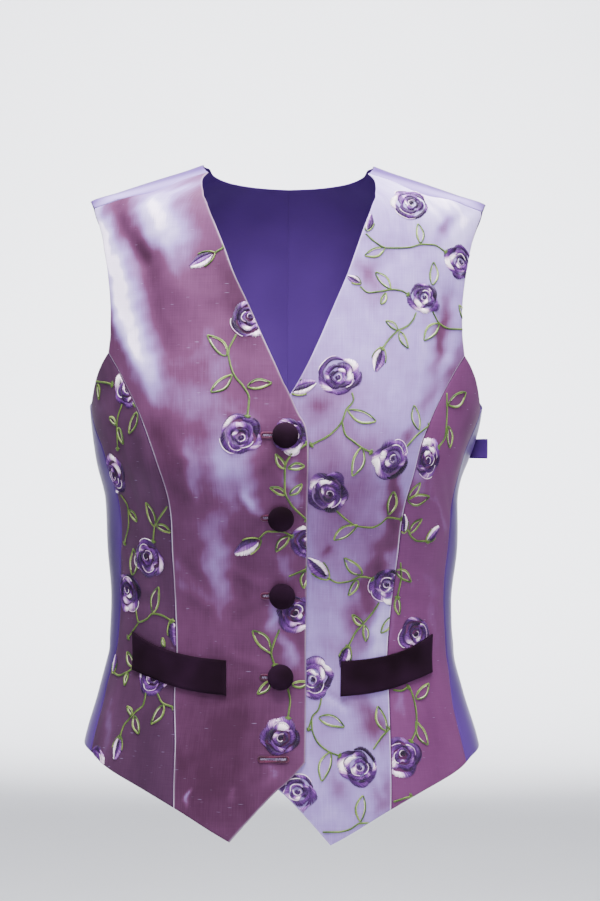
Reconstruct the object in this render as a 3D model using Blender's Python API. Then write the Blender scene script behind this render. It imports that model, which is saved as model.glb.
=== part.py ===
"""Embroidered waistcoat: a worn, hollow garment of thin cloth walls, open at the neck, armholes and hem.

The fronts face -Y and +X is the wearer's left. The origin lies midway between the shoulders, at the height
where they carry the cloth. One body form, a stack of rings, gives every panel its shape. A place on it is a
turn (degrees round the body from centre front, the wearer's left positive) and a height (millimetres above
the shoulders, so nearly always negative). Each panel is a wall between four edge curves on that form.
"""
from collections import namedtuple

import bmesh
import bpy
import numpy as np
from mathutils import Matrix, Vector

MM = 0.001

# Cloth
WALL = 1.6 * MM               # silk, interfacing and lining together
SEAM_GAP = 0.3 * MM           # between the pieces on either side of a seam
LAP_GAP = 0.9 * MM            # between the fronts where one lies on the other
LAP_MARGIN = 1.0              # degrees by which the under front stays sunk past the edge that covers it
LAP_BLEND = 9.0               # degrees over which it comes back out to the body form

# Rows and columns of each panel's grid
SEAM_ROWS = 28                # from the hem to the top of the princess and side seams
ARMHOLE_ROWS = 12             # from there to the shoulder
CUTAWAY_ROWS = 5              # up the slanted front corner
BACK_NECK_ROWS = 7
FRONT_COLUMNS = 12            # the same number on each side of the shoulder seam
SIDE_COLUMNS = 7
FINE_STEPS = 400              # for measuring along a curve
TURN_LENGTH = 2.6 * MM        # what one degree of turn measures round the body, near enough

# Body form: rings from the hem up, in millimetres. The squareness 2 is an ellipse, more is boxier; centre is
# how far both sides stand over to the wearer's left of the fronts.
Section = namedtuple("Section", "height half_width front_depth back_depth squareness centre")
SECTIONS = (
    Section(-590.0, 186.0, 122.0, 108.0, 2.20, -1.0),
    Section(-520.0, 179.0, 118.0, 105.0, 2.20, -1.2),
    Section(-485.0, 172.0, 114.0, 100.0, 2.20, -1.6),
    Section(-445.0, 160.0, 109.0, 90.0, 2.20, -2.4),
    Section(-405.0, 151.0, 105.0, 79.0, 2.20, -3.0),
    Section(-366.0, 149.5, 105.0, 76.0, 2.20, -3.0),
    Section(-320.0, 154.0, 112.0, 80.0, 2.20, -2.2),
    Section(-280.0, 157.0, 123.0, 88.0, 2.20, -1.2),
    Section(-245.0, 166.0, 129.0, 95.0, 2.20, -0.6),
    Section(-215.0, 171.0, 127.0, 99.0, 2.20, 0.0),
    Section(-170.0, 175.0, 120.0, 100.0, 2.20, 0.0),
    Section(-120.0, 180.0, 108.0, 97.0, 2.15, 0.0),
    Section(-70.0, 183.0, 94.0, 88.0, 2.10, 0.0),
    Section(-34.0, 182.0, 82.0, 76.0, 2.05, 0.0),
    Section(-18.5, 174.5, 74.0, 68.0, 2.00, 0.0),
    Section(-10.0, 150.0, 67.0, 63.0, 2.00, 0.0),
    Section(0.5, 119.0, 57.0, 56.0, 2.00, 0.0),
    Section(9.5, 91.0, 46.0, 49.0, 2.00, 0.0),
    Section(16.5, 72.0, 36.0, 42.0, 2.00, 0.0),
    Section(23.0, 52.0, 26.0, 34.0, 2.00, 0.0),
)
BUST_APART = 90.0 * MM        # from the centre to each side's fullest point
BUST_HEIGHT = -240.0 * MM
BUST_SPREAD_ACROSS = 45.0 * MM
BUST_SPREAD_UP = 55.0 * MM
BUST_FULLNESS = 10.0 * MM

# Largest folds: each is a soft trough (depth below 0) or ridge along a line from one place to another
Fold = namedtuple("Fold", "turn_a height_a turn_b height_b width depth")
FOLDS = (
    Fold(-55.5, -30.0, -42.4, -74.0, 11.0, -2.2),    # right chest, from the shoulder
    Fold(-42.4, -74.0, -35.5, -150.0, 13.0, -2.2),
    Fold(-59.5, -66.0, -52.5, -130.0, 8.0, 1.3),     # beside the right armhole
    Fold(-52.5, -130.0, -42.0, -176.0, 9.0, 1.3),
    Fold(-36.0, -36.0, -29.0, -100.0, 13.0, 1.3),    # between that trough and the neckline
    Fold(-24.0, -250.0, -26.0, -350.0, 12.0, 1.0),
    Fold(49.5, -104.0, 47.0, -148.0, 10.0, -1.3),    # left chest
    Fold(31.0, -64.0, 24.0, -84.0, 9.0, -1.1),
    Fold(31.5, -238.0, 28.5, -284.0, 10.0, -1.3),
    Fold(27.5, -345.0, 25.5, -402.0, 10.0, -1.1),
    Fold(78.0, -246.0, 92.0, -268.0, 34.0, -7.0),    # the left arm presses the side in
    Fold(112.0, -344.0, 148.0, -362.0, 9.0, -2.0),   # back waist, wearer's left
    Fold(106.0, -388.0, 138.0, -379.0, 9.0, -1.7),
    Fold(-108.0, -350.0, -150.0, -357.0, 10.0, -2.0),
    Fold(-104.0, -382.0, -134.0, -392.0, 8.0, -1.6),
    Fold(128.0, -96.0, 146.0, -196.0, 18.0, -1.8),   # beside each shoulder blade
    Fold(-130.0, -104.0, -148.0, -186.0, 16.0, -1.6),
)

# Edge curves as (turn, height). Turns count away from centre front on either side but where named.
FrontEdge = namedtuple("FrontEdge", "height over under")   # turns of the right and the left front's edge
FRONT_EDGE = (
    FrontEdge(-496.5, 5.0, -6.6),
    FrontEdge(-428.0, 5.7, -7.4),
    FrontEdge(-361.0, 5.9, -7.6),
    FrontEdge(-293.0, 5.6, -7.0),
    FrontEdge(-234.5, 5.3, -6.3),
    FrontEdge(-214.0, 4.4, -4.6),
    FrontEdge(-204.6, 2.8, -2.2),
    FrontEdge(-185.0, 0.4, 1.2),
    FrontEdge(-163.0, -2.1, 4.6),
    FrontEdge(-139.0, -5.3, 7.9),
    FrontEdge(-109.5, -9.4, 11.8),
    FrontEdge(-85.0, -13.1, 15.1),
    FrontEdge(-62.0, -16.1, 17.9),
    FrontEdge(-34.0, -20.5, 21.7),
    FrontEdge(-27.0, -21.9, 23.1),
    FrontEdge(-20.0, -23.7, 24.9),
    FrontEdge(-15.0, -25.7, 26.8),
    FrontEdge(-10.0, -29.3, 30.3),
    FrontEdge(-6.0, -32.4, 33.2),
    FrontEdge(-2.0, -35.9, 36.5),
    FrontEdge(2.0, -39.6, 39.9),
    FrontEdge(6.0, -43.0, 43.0),
)
TIP_TURN_OVER = -12.0         # the hem's two points
TIP_TURN_UNDER = 11.0

Place = namedtuple("Place", "turn height")
HEM = (
    Place(0.0, -583.0),
    Place(11.5, -564.5),
    Place(28.0, -537.0),
    Place(42.0, -520.0),
    Place(60.0, -505.0),
    Place(70.0, -497.0),
    Place(88.0, -492.5),
    Place(120.0, -494.0),
    Place(180.0, -497.0),
)
Seam = namedtuple("Seam", "height right left")   # turns of the same seam on either side
PRINCESS_HEM_TURN = 28.3
PRINCESS = (                  # above its hem end
    Seam(-486.0, 29.8, 29.8),
    Seam(-440.0, 33.5, 32.3),
    Seam(-394.0, 35.2, 34.1),
    Seam(-355.0, 36.2, 36.0),
    Seam(-320.0, 36.1, 36.8),
    Seam(-298.0, 36.0, 37.3),
    Seam(-264.0, 37.4, 39.2),
    Seam(-232.0, 40.3, 40.5),
    Seam(-205.0, 44.3, 44.3),
    Seam(-184.0, 49.0, 49.0),
    Seam(-166.0, 54.0, 54.0),
    Seam(-152.5, 58.7, 58.7),
)
SIDE_HEM_TURN_RIGHT = 70.2
SIDE_HEM_TURN_LEFT = 63.6
SIDE_SEAM = (                 # above its hem end
    Seam(-478.0, 70.4, 63.2),
    Seam(-458.0, 71.0, 64.0),
    Seam(-437.0, 72.0, 66.6),
    Seam(-418.0, 71.0, 69.6),
    Seam(-400.0, 69.2, 69.8),
    Seam(-362.0, 67.9, 68.4),
    Seam(-330.0, 65.0, 66.3),
    Seam(-300.0, 62.8, 66.4),
    Seam(-270.0, 64.6, 67.6),
    Seam(-236.0, 68.4, 71.2),
    Seam(-217.0, 75.0, 75.8),
    Seam(-200.0, 80.5, 80.5),
)
UNDERARM = (                  # from the princess seam to the side seam
    Place(58.7, -152.5),
    Place(63.5, -161.5),
    Place(69.0, -173.0),
    Place(75.0, -188.0),
    Place(80.5, -200.0),
)
FRONT_ARMHOLE = (             # from the princess seam up to the shoulder
    Place(58.7, -152.5),
    Place(56.4, -133.0),
    Place(55.6, -110.0),
    Place(56.6, -84.0),
    Place(59.5, -60.0),
    Place(63.5, -41.5),
    Place(69.5, -25.8),
)
BACK_ARMHOLE = (              # from the side seam round the back up to the shoulder
    Place(80.5, -200.0),
    Place(92.0, -197.0),
    Place(103.0, -187.0),
    Place(113.0, -169.0),
    Place(119.5, -142.0),
    Place(121.5, -112.0),
    Place(120.5, -82.0),
    Place(117.0, -54.0),
    Place(111.5, -34.0),
    Place(102.0, -21.5),
    Place(91.0, -18.0),
    Place(80.0, -19.5),
    Place(69.5, -25.8),
)
SHOULDER_SEAM = (             # from the neck out to the armhole
    Place(43.0, 6.0),
    Place(47.2, -1.0),
    Place(46.5, -7.5),
    Place(47.2, -13.6),
    Place(53.0, -16.0),
    Place(57.5, -18.8),
    Place(62.0, -22.3),
    Place(69.5, -25.8),
)
BACK_NECK = (                 # from centre back to the shoulder seam
    Place(180.0, 0.0),
    Place(170.0, 0.8),
    Place(155.0, 3.5),
    Place(135.0, 9.0),
    Place(112.0, 14.8),
    Place(85.0, 15.5),
    Place(60.0, 11.5),
    Place(43.0, 6.0),
)
BACK_BLADE = Place(180.0, -170.0)   # on the centre back seam, where the rows fan out to the armhole

# Pocket welts: curved bands across each princess seam
Welt = namedtuple("Welt", "turn_top height_top turn_low height_low")
WELT = (
    Welt(16.5, -412.5, 15.5, -441.8),
    Welt(24.0, -411.0, 23.0, -440.2),
    Welt(33.0, -408.0, 33.0, -436.2),
    Welt(43.0, -402.5, 43.5, -429.7),
    Welt(56.8, -391.4, 54.4, -424.0),
)
WELT_GAP = 0.6 * MM
WELT_THICKNESS = 2.4 * MM
WELT_COLUMNS = 14
WELT_ROWS = 4

# Covered buttons
BUTTON_RADIUS = 11.0 * MM
BUTTON_SHANK_RADIUS = 3.0 * MM
BUTTON_SHANK_HEIGHT = 1.2 * MM
BUTTON_RIM_HEIGHT = 3.0 * MM
BUTTON_DOME_HEIGHT = 5.2 * MM
BUTTON_BEVEL = 1.0 * MM
BUTTON_GAP = 0.5 * MM
BUTTON_STEPS_ROUND = 24
BUTTON_STEPS_UP = 6
BUTTONS = (
    Place(0.0, -222.6),
    Place(-0.8, -291.6),
    Place(-0.4, -357.6),
    Place(-0.6, -426.2),
)

# Short tab behind the wearer's left underarm, lying on the back and then standing out
TAB_HEIGHT = -232.0
TAB_WIDTH = 17.0 * MM
TAB_THICKNESS = 1.8 * MM
TAB_GAP = 0.9 * MM
TAB_TURN_START = 116.0
TAB_TURN_LEAVES = 103.0
TAB_TIP = (178.0, 12.0)       # where its free end reaches, across and back
TAB_BEND = 0.35               # how far along it the bend is
TAB_STEPS_LYING = 4
TAB_STEPS_STANDING = 6

# Finishes: base colour (linear), roughness
Finish = namedtuple("Finish", "colour roughness")
SILK = Finish((0.195, 0.095, 0.180, 1.0), 0.45)
SATIN = Finish((0.150, 0.120, 0.360, 1.0), 0.35)
VELVET = Finish((0.022, 0.007, 0.019, 1.0), 0.90)


def smooth(places, values, wanted):
    """Values read at the wanted places from a smooth curve that keeps the table's rises and falls."""
    spans = np.diff(places)
    slopes = np.diff(values) / spans
    heading = np.zeros(len(values))
    heading[0], heading[-1] = slopes[0], slopes[-1]
    before, after = slopes[:-1], slopes[1:]
    same_way = before * after > 0
    weight_before = 2 * spans[1:] + spans[:-1]
    weight_after = spans[1:] + 2 * spans[:-1]
    safe_before = np.where(same_way, before, 1.0)
    safe_after = np.where(same_way, after, 1.0)
    mean = (weight_before + weight_after) / (weight_before / safe_before + weight_after / safe_after)
    heading[1:-1] = np.where(same_way, mean, 0.0)
    span = np.clip(np.searchsorted(places, wanted) - 1, 0, len(spans) - 1)
    t = (wanted - places[span]) / spans[span]
    start, end = values[span], values[span + 1]
    start_heading, end_heading = heading[span] * spans[span], heading[span + 1] * spans[span]
    return ((2 * t**3 - 3 * t**2 + 1) * start + (t**3 - 2 * t**2 + t) * start_heading
            + (3 * t**2 - 2 * t**3) * end + (t**3 - t**2) * end_heading)


def column(rows, name):
    return np.array([getattr(row, name) for row in rows])


def ease(share):
    """0 to 1 with level ends."""
    share = np.clip(share, 0.0, 1.0)
    return share * share * (3 - 2 * share)


def base(turn, height):
    """Points of the bare body form."""
    rings = column(SECTIONS, "height")
    level = np.clip(height, rings[0], rings[-1])
    half_width, front_depth, back_depth, squareness, centre = (
        smooth(rings, column(SECTIONS, name), level) for name in Section._fields[1:])
    across, ahead = np.sin(np.radians(turn)), np.cos(np.radians(turn))
    x = half_width * MM * np.sign(across) * np.abs(across) ** (2 / squareness)
    depth = np.where(ahead >= 0, front_depth, back_depth) * MM
    y = -depth * np.sign(ahead) * np.abs(ahead) ** (2 / squareness)
    z = height * MM
    nearness = ((np.abs(x) - BUST_APART) / BUST_SPREAD_ACROSS) ** 2 + ((z - BUST_HEIGHT) / BUST_SPREAD_UP) ** 2
    y = y - BUST_FULLNESS * np.clip(ahead, 0, None) * np.exp(-nearness / 2)
    return np.stack([x + centre * MM * across ** 4, y, z], axis=-1)


def outward(form, turn, height):
    """Unit normals of a form, from its points a little way round and a little way up."""
    step_round, step_up = 0.3, 0.6
    along = form(turn + step_round, height) - form(turn - step_round, height)
    upward = form(turn, height + step_up) - form(turn, height - step_up)
    normal = np.cross(along, upward)
    return normal / np.linalg.norm(normal, axis=-1, keepdims=True)


def relief(turn, height):
    """How far the folds lift the cloth off the body form."""
    lift = np.zeros(np.broadcast(turn, height).shape)
    across, up = turn * TURN_LENGTH, height * MM
    for fold in FOLDS:
        start = np.array((fold.turn_a * TURN_LENGTH, fold.height_a * MM))
        run = np.array((fold.turn_b * TURN_LENGTH, fold.height_b * MM)) - start
        share = ((across - start[0]) * run[0] + (up - start[1]) * run[1]) / run.dot(run)
        share = np.clip(share, 0, 1)
        gap = np.hypot(across - start[0] - share * run[0], up - start[1] - share * run[1])
        lift += fold.depth * MM * np.exp(-(gap / (fold.width * MM)) ** 2)
    return lift


def cloth(turn, height):
    """Outer points of the garment's cloth."""
    return base(turn, height) + outward(base, turn, height) * relief(turn, height)[..., None]


def under_lap(turn, height):
    """Outer points of the left front, which sinks in where the right front lies on it."""
    rows = np.concatenate(([hem(TIP_TURN_OVER)], column(FRONT_EDGE, "height")))
    turns = np.concatenate(([TIP_TURN_OVER], column(FRONT_EDGE, "over")))
    past_edge = turn - np.interp(height, rows, turns) - LAP_MARGIN
    sunk = (WALL + LAP_GAP) * (1 - ease(past_edge / LAP_BLEND))
    return cloth(turn, height) - outward(base, turn, height) * sunk[..., None]


def hem(turn):
    return float(smooth(column(HEM, "turn"), column(HEM, "height"), np.array(abs(turn))))


def follow(places, steps):
    """Evenly spaced (turn, height) points along a smooth curve through the places, ends included."""
    rows = np.array(places, dtype=float)
    lengths = np.hypot(np.diff(rows[:, 0]) * TURN_LENGTH, np.diff(rows[:, 1]) * MM)
    along = np.concatenate(([0], np.cumsum(lengths)))
    fine = np.linspace(0, along[-1], FINE_STEPS)
    curve = np.stack([smooth(along, rows[:, 0], fine), smooth(along, rows[:, 1], fine)], axis=1)
    moved = np.hypot(np.diff(curve[:, 0]) * TURN_LENGTH, np.diff(curve[:, 1]) * MM)
    measured = np.concatenate(([0], np.cumsum(moved)))
    wanted = np.linspace(0, measured[-1], steps + 1)
    return np.stack([np.interp(wanted, measured, curve[:, k]) for k in (0, 1)], axis=1)


def chain(*curves):
    """Curves end to end, each starting where the last one stopped."""
    return np.concatenate([curves[0]] + [curve[1:] for curve in curves[1:]])


def on_side(curve, side):
    """A curve measured away from centre front, put on the left (+1) or the right (-1)."""
    return np.array(curve, dtype=float) * (side, 1)


def hem_between(start_turn, end_turn, steps):
    turns = np.linspace(start_turn, end_turn, steps + 1)
    return np.array([(turn, hem(turn)) for turn in turns])


def fill_between(inner, outer, bottom, top):
    """A grid of (turn, height) between four edge curves that share their corners."""
    up = np.linspace(0, 1, len(inner))[:, None, None]
    across = np.linspace(0, 1, len(bottom))[None, :, None]
    between_sides = (1 - across) * inner[:, None] + across * outer[:, None]
    between_ends = (1 - up) * bottom[None] + up * top[None]
    corners = ((1 - up) * ((1 - across) * bottom[0] + across * bottom[-1])
               + up * ((1 - across) * top[0] + across * top[-1]))
    return between_sides + between_ends - corners


def pull_in(edge, neighbours, distance):
    """An edge's points moved towards the panel's inside, square to the edge."""
    along = np.gradient(edge, axis=0)
    along /= np.linalg.norm(along, axis=1, keepdims=True)
    inward = neighbours - edge
    inward -= along * np.sum(inward * along, axis=1, keepdims=True)
    return edge + inward / np.linalg.norm(inward, axis=1, keepdims=True) * distance


def leave_seam_gaps(points):
    """A grid of points with each edge drawn back by half the gap that a seam keeps."""
    trimmed = points.copy()
    half = SEAM_GAP / 2
    trimmed[:, 0] = pull_in(trimmed[:, 0], trimmed[:, 1], half)
    trimmed[:, -1] = pull_in(trimmed[:, -1], trimmed[:, -2], half)
    trimmed[0] = pull_in(trimmed[0], trimmed[1], half)
    trimmed[-1] = pull_in(trimmed[-1], trimmed[-2], half)
    return trimmed


def material(name, finish):
    made = bpy.data.materials.get(name) or bpy.data.materials.new(name)
    made.use_nodes = True
    shader = made.node_tree.nodes["Principled BSDF"]
    shader.inputs["Base Color"].default_value = finish.colour
    shader.inputs["Roughness"].default_value = finish.roughness
    made.diffuse_color = finish.colour
    return made


def add_object(name, shape, finish):
    """An object from a finished bmesh, smooth but for its sharp edges."""
    bmesh.ops.recalc_face_normals(shape, faces=shape.faces)
    mesh = bpy.data.meshes.new(name)
    shape.to_mesh(mesh)
    shape.free()
    mesh.shade_smooth()
    mesh.set_sharp_from_angle(angle=np.radians(40))
    mesh.materials.append(material(name, finish))
    made = bpy.data.objects.new(name, mesh)
    bpy.context.collection.objects.link(made)
    return made


def add_wall(name, outer, inner, finish):
    """A closed sheet between two matching grids of points."""
    shape = bmesh.new()
    outside = [[shape.verts.new(point) for point in row] for row in outer]
    inside = [[shape.verts.new(point) for point in row] for row in inner]
    rows, columns = len(outside) - 1, len(outside[0]) - 1
    for i in range(rows):
        for j in range(columns):
            for sheet in (outside, inside):
                shape.faces.new((sheet[i][j], sheet[i][j + 1], sheet[i + 1][j + 1], sheet[i + 1][j]))
    for j in range(columns):
        for i in (0, rows):
            shape.faces.new((outside[i][j], outside[i][j + 1], inside[i][j + 1], inside[i][j]))
    for i in range(rows):
        for j in (0, columns):
            shape.faces.new((outside[i][j], outside[i + 1][j], inside[i + 1][j], inside[i][j]))
    return add_object(name, shape, finish)


def add_panel(name, grid, form, finish):
    """A cloth panel over a grid of (turn, height), its wall inside the form's surface."""
    turn, height = grid[..., 0], grid[..., 1]
    outer = leave_seam_gaps(form(turn, height))
    return add_wall(name, outer, outer - outward(form, turn, height) * WALL, finish)


def seam_places(rows, side):
    turns = "right" if side < 0 else "left"
    return [Place(getattr(row, turns), row.height) for row in rows]


def princess_seam(side):
    start = Place(PRINCESS_HEM_TURN, hem(PRINCESS_HEM_TURN))
    return on_side(follow([start] + seam_places(PRINCESS, side), SEAM_ROWS), side)


def side_hem_turn(side):
    return SIDE_HEM_TURN_RIGHT if side < 0 else SIDE_HEM_TURN_LEFT


def side_seam(side):
    start = Place(side_hem_turn(side), hem(side_hem_turn(side)))
    return on_side(follow([start] + seam_places(SIDE_SEAM, side), SEAM_ROWS), side)


def add_front(name, side, edge_column, tip_turn, form):
    """A front from its lapped edge and neckline to the princess seam and armhole."""
    edge = [Place(getattr(row, edge_column), row.height) for row in FRONT_EDGE]
    tip = Place(tip_turn, hem(tip_turn))
    free_edge = chain(follow((tip, edge[0]), CUTAWAY_ROWS),
                      follow(edge, SEAM_ROWS + ARMHOLE_ROWS - CUTAWAY_ROWS))
    seam = chain(princess_seam(side), on_side(follow(FRONT_ARMHOLE, ARMHOLE_ROWS), side))
    grid = fill_between(free_edge, seam,
                        hem_between(tip_turn, side * PRINCESS_HEM_TURN, FRONT_COLUMNS),
                        on_side(follow(SHOULDER_SEAM, FRONT_COLUMNS), side))
    return add_panel(name, grid, form, SILK)


def add_side_front(name, side):
    grid = fill_between(princess_seam(side), side_seam(side),
                        hem_between(side * PRINCESS_HEM_TURN, side * side_hem_turn(side), SIDE_COLUMNS),
                        on_side(follow(UNDERARM, SIDE_COLUMNS), side))
    return add_panel(name, grid, cloth, SILK)


def add_back(name, side):
    """A back from the centre back seam and neckline to the side seam and armhole."""
    centre_hem = Place(180.0, hem(180.0))
    centre = chain(follow((centre_hem, BACK_BLADE), SEAM_ROWS),
                   follow((BACK_BLADE, BACK_NECK[0]), ARMHOLE_ROWS - BACK_NECK_ROWS),
                   follow(BACK_NECK, BACK_NECK_ROWS))
    seam = chain(side_seam(side), on_side(follow(BACK_ARMHOLE, ARMHOLE_ROWS), side))
    grid = fill_between(on_side(centre, side), seam,
                        hem_between(side * 180.0, side * side_hem_turn(side), FRONT_COLUMNS),
                        on_side(follow(SHOULDER_SEAM, FRONT_COLUMNS), side))
    return add_panel(name, grid, cloth, SATIN)


def add_welt(name, side):
    """A velvet pocket welt: a band of the cloth's own points, moved out."""
    top = on_side(follow([row[:2] for row in WELT], WELT_COLUMNS), side)
    low = on_side(follow([row[2:] for row in WELT], WELT_COLUMNS), side)
    up = np.linspace(0, 1, WELT_ROWS + 1)[:, None, None]
    grid = (1 - up) * low[None] + up * top[None]
    turn, height = grid[..., 0], grid[..., 1]
    surface, normal = cloth(turn, height), outward(cloth, turn, height)
    back = surface + normal * WELT_GAP
    return add_wall(name, back + normal * WELT_THICKNESS, back, VELVET)


def add_button(name, place):
    """A domed button on a short shank, turned about its own Z axis, then set square to the cloth."""
    outline = [(0, 0), (BUTTON_SHANK_RADIUS, 0), (BUTTON_SHANK_RADIUS, BUTTON_SHANK_HEIGHT),
               (BUTTON_RADIUS - BUTTON_BEVEL, BUTTON_SHANK_HEIGHT)]
    for step in range(BUTTON_STEPS_UP + 1):
        angle = np.radians(90) * step / BUTTON_STEPS_UP
        outline.append((BUTTON_RADIUS * np.cos(angle), BUTTON_RIM_HEIGHT + BUTTON_DOME_HEIGHT * np.sin(angle)))
    shape = bmesh.new()
    points = [shape.verts.new((radius, 0, up)) for radius, up in outline]
    edges = [shape.edges.new(pair) for pair in zip(points, points[1:])]
    bmesh.ops.spin(shape, geom=points + edges, cent=(0, 0, 0), axis=(0, 0, 1), angle=np.radians(360),
                   steps=BUTTON_STEPS_ROUND, use_merge=True)
    bmesh.ops.remove_doubles(shape, verts=shape.verts, dist=0.01 * MM)
    made = add_object(name, shape, VELVET)
    turn, height = np.array(place.turn), np.array(place.height)
    normal = Vector(outward(cloth, turn, height))
    foot = Vector(cloth(turn, height)) + normal * BUTTON_GAP
    made.matrix_world = Matrix.Translation(foot) @ normal.to_track_quat("Z", "Y").to_matrix().to_4x4()
    return made


def tab_edge(height):
    """One long edge of the tab, along the middle of its thickness, with its outward directions."""
    turns = np.linspace(TAB_TURN_START, TAB_TURN_LEAVES, TAB_STEPS_LYING + 1)
    heights = np.full(len(turns), height)
    middle = TAB_GAP + TAB_THICKNESS / 2
    lying = cloth(turns, heights) + outward(cloth, turns, heights) * middle
    tip = np.array((*TAB_TIP, height)) * MM
    start, heading = lying[-1], lying[-1] - lying[-2]
    control = start + heading / np.linalg.norm(heading) * np.linalg.norm(tip - start) * TAB_BEND
    standing = [(1 - t) ** 2 * start + 2 * t * (1 - t) * control + t * t * tip
                for t in np.linspace(0, 1, TAB_STEPS_STANDING + 1)[1:]]
    path = np.concatenate((lying, standing))
    along = np.gradient(path, axis=0)
    away = np.cross((0, 0, 1), along)
    return path, away / np.linalg.norm(away, axis=1, keepdims=True)


def add_tab(name):
    """A short strap that lies on the back and then stands out beside the underarm."""
    half_width = TAB_WIDTH / MM / 2
    low, low_away = tab_edge(TAB_HEIGHT - half_width)
    high, high_away = tab_edge(TAB_HEIGHT + half_width)
    middle, away = np.stack((low, high)), np.stack((low_away, high_away))
    return add_wall(name, middle + away * TAB_THICKNESS / 2, middle - away * TAB_THICKNESS / 2, SATIN)


def main():
    for old in list(bpy.data.objects):
        bpy.data.objects.remove(old, do_unlink=True)
    shoulders = bpy.data.objects.new("held_at_shoulders", None)
    bpy.context.collection.objects.link(shoulders)
    pieces = [
        add_front("front_right", -1, "over", TIP_TURN_OVER, cloth),
        add_front("front_left", 1, "under", TIP_TURN_UNDER, under_lap),
        add_side_front("side_front_right", -1),
        add_side_front("side_front_left", 1),
        add_back("back_right", -1),
        add_back("back_left", 1),
        add_welt("pocket_welt_right", -1),
        add_welt("pocket_welt_left", 1),
        add_tab("back_tab_left"),
    ]
    pieces += [add_button(f"button_{number}", place) for number, place in enumerate(BUTTONS, 1)]
    for piece in pieces:
        piece.parent = shoulders


main()
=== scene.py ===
"""Embroidered waistcoat: the look of its cloth, laid out as an add-on and run as a script.

The fronts face -Y and +X is the wearer's left. A place on the garment is a turn (degrees round the body from
centre front, the wearer's left positive) and a height (millimetres above the shoulders), as in the solids'
own source. Each panel is a thin shell on that body form, and the embroidery is laid on it stitch by stitch.
"""

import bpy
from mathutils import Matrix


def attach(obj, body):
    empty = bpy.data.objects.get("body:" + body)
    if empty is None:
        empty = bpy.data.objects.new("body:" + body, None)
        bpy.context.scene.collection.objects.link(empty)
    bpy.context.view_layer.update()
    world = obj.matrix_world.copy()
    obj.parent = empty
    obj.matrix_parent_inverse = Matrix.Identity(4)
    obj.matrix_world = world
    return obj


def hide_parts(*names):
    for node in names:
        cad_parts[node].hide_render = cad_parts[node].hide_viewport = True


bl_info = {
    "name": "Embroidered Waistcoat",
    "version": (1, 0, 0),
    "blender": (4, 5, 0),
    "location": "3D View > Sidebar > Waistcoat",
    "description": "Dresses the waistcoat's solids in shot silk, satin, velvet and embroidery",
    "category": "Add Mesh",
}

from collections import namedtuple

import bpy
import numpy as np
from mathutils import Matrix, Vector

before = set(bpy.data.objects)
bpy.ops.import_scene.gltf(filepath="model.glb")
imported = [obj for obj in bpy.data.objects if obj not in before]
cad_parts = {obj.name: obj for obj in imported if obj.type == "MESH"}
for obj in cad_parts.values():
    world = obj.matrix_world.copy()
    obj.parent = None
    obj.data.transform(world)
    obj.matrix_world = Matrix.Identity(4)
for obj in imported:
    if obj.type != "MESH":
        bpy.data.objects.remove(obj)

MM = 0.001
BODY = "root"
TINY = 1e-9  # the least that anything is divided by
SIDES = {"right": -1, "left": 1}  # the wearer's

# Grids: rows up each panel and columns across it, before the close ones beside each edge
SEAM_ROWS = 140  # from the hem to the top of the princess and side seams
ARMHOLE_ROWS = 60  # from there to the shoulder
CUTAWAY_ROWS = 25
BACK_NECK_ROWS = 35
FRONT_COLUMNS = 60
SIDE_COLUMNS = 35
CLOSE_LINES = (0.1, 0.26, 0.55)  # shares of a step at which the close rows and columns lie
FINE_STEPS = 400
RIM_SHARES = (0.25, 0.5, 0.75)  # where the rounded rim has points between the outer and inner faces
TURN_LENGTH = 2.6 * MM  # what one degree of turn measures round the body, near enough
NORMAL_STEP_ROUND = 0.3  # degrees
NORMAL_STEP_UP = 0.6  # millimetres

# Cloth, as the solids have it
WALL = 1.6 * MM
LAP_GAP = 0.9 * MM  # between the fronts where one lies on the other
LAP_MARGIN = 1.0  # degrees by which the under front stays sunk past the edge that covers it
LAP_BLEND = 9.0  # degrees over which it comes back out to the body form


def table(kind, *rows):
    """Rows of numbers, each as one of this kind."""
    return tuple(kind(*map(float, row)) for row in rows)


# Body form: rings from the hem up, in millimetres. The squareness 2 is an ellipse, more is boxier; centre is
# how far both sides stand over to the wearer's left of the fronts.
Section = namedtuple("Section", "height half_width front_depth back_depth squareness centre")
SECTIONS = table(Section,
    (-590, 186, 122, 108, 2.2, -1), (-520, 179, 118, 105, 2.2, -1.2), (-485, 172, 114, 100, 2.2, -1.6),
    (-445, 160, 109, 90, 2.2, -2.4), (-405, 151, 105, 79, 2.2, -3), (-366, 149.5, 105, 76, 2.2, -3),
    (-320, 154, 112, 80, 2.2, -2.2), (-280, 157, 123, 88, 2.2, -1.2), (-245, 166, 129, 95, 2.2, -0.6),
    (-215, 171, 127, 99, 2.2, 0), (-170, 175, 120, 100, 2.2, 0), (-120, 180, 108, 97, 2.15, 0),
    (-70, 183, 94, 88, 2.1, 0), (-34, 182, 82, 76, 2.05, 0), (-18.5, 174.5, 74, 68, 2, 0),
    (-10, 150, 67, 63, 2, 0), (0.5, 119, 57, 56, 2, 0), (9.5, 91, 46, 49, 2, 0),
    (16.5, 72, 36, 42, 2, 0), (23, 52, 26, 34, 2, 0),
)
BUST_APART = 90.0 * MM  # from the centre to each side's fullest point
BUST_HEIGHT = -240.0 * MM
BUST_SPREAD_ACROSS = 45.0 * MM
BUST_SPREAD_UP = 55.0 * MM
BUST_FULLNESS = 10.0 * MM

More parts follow.
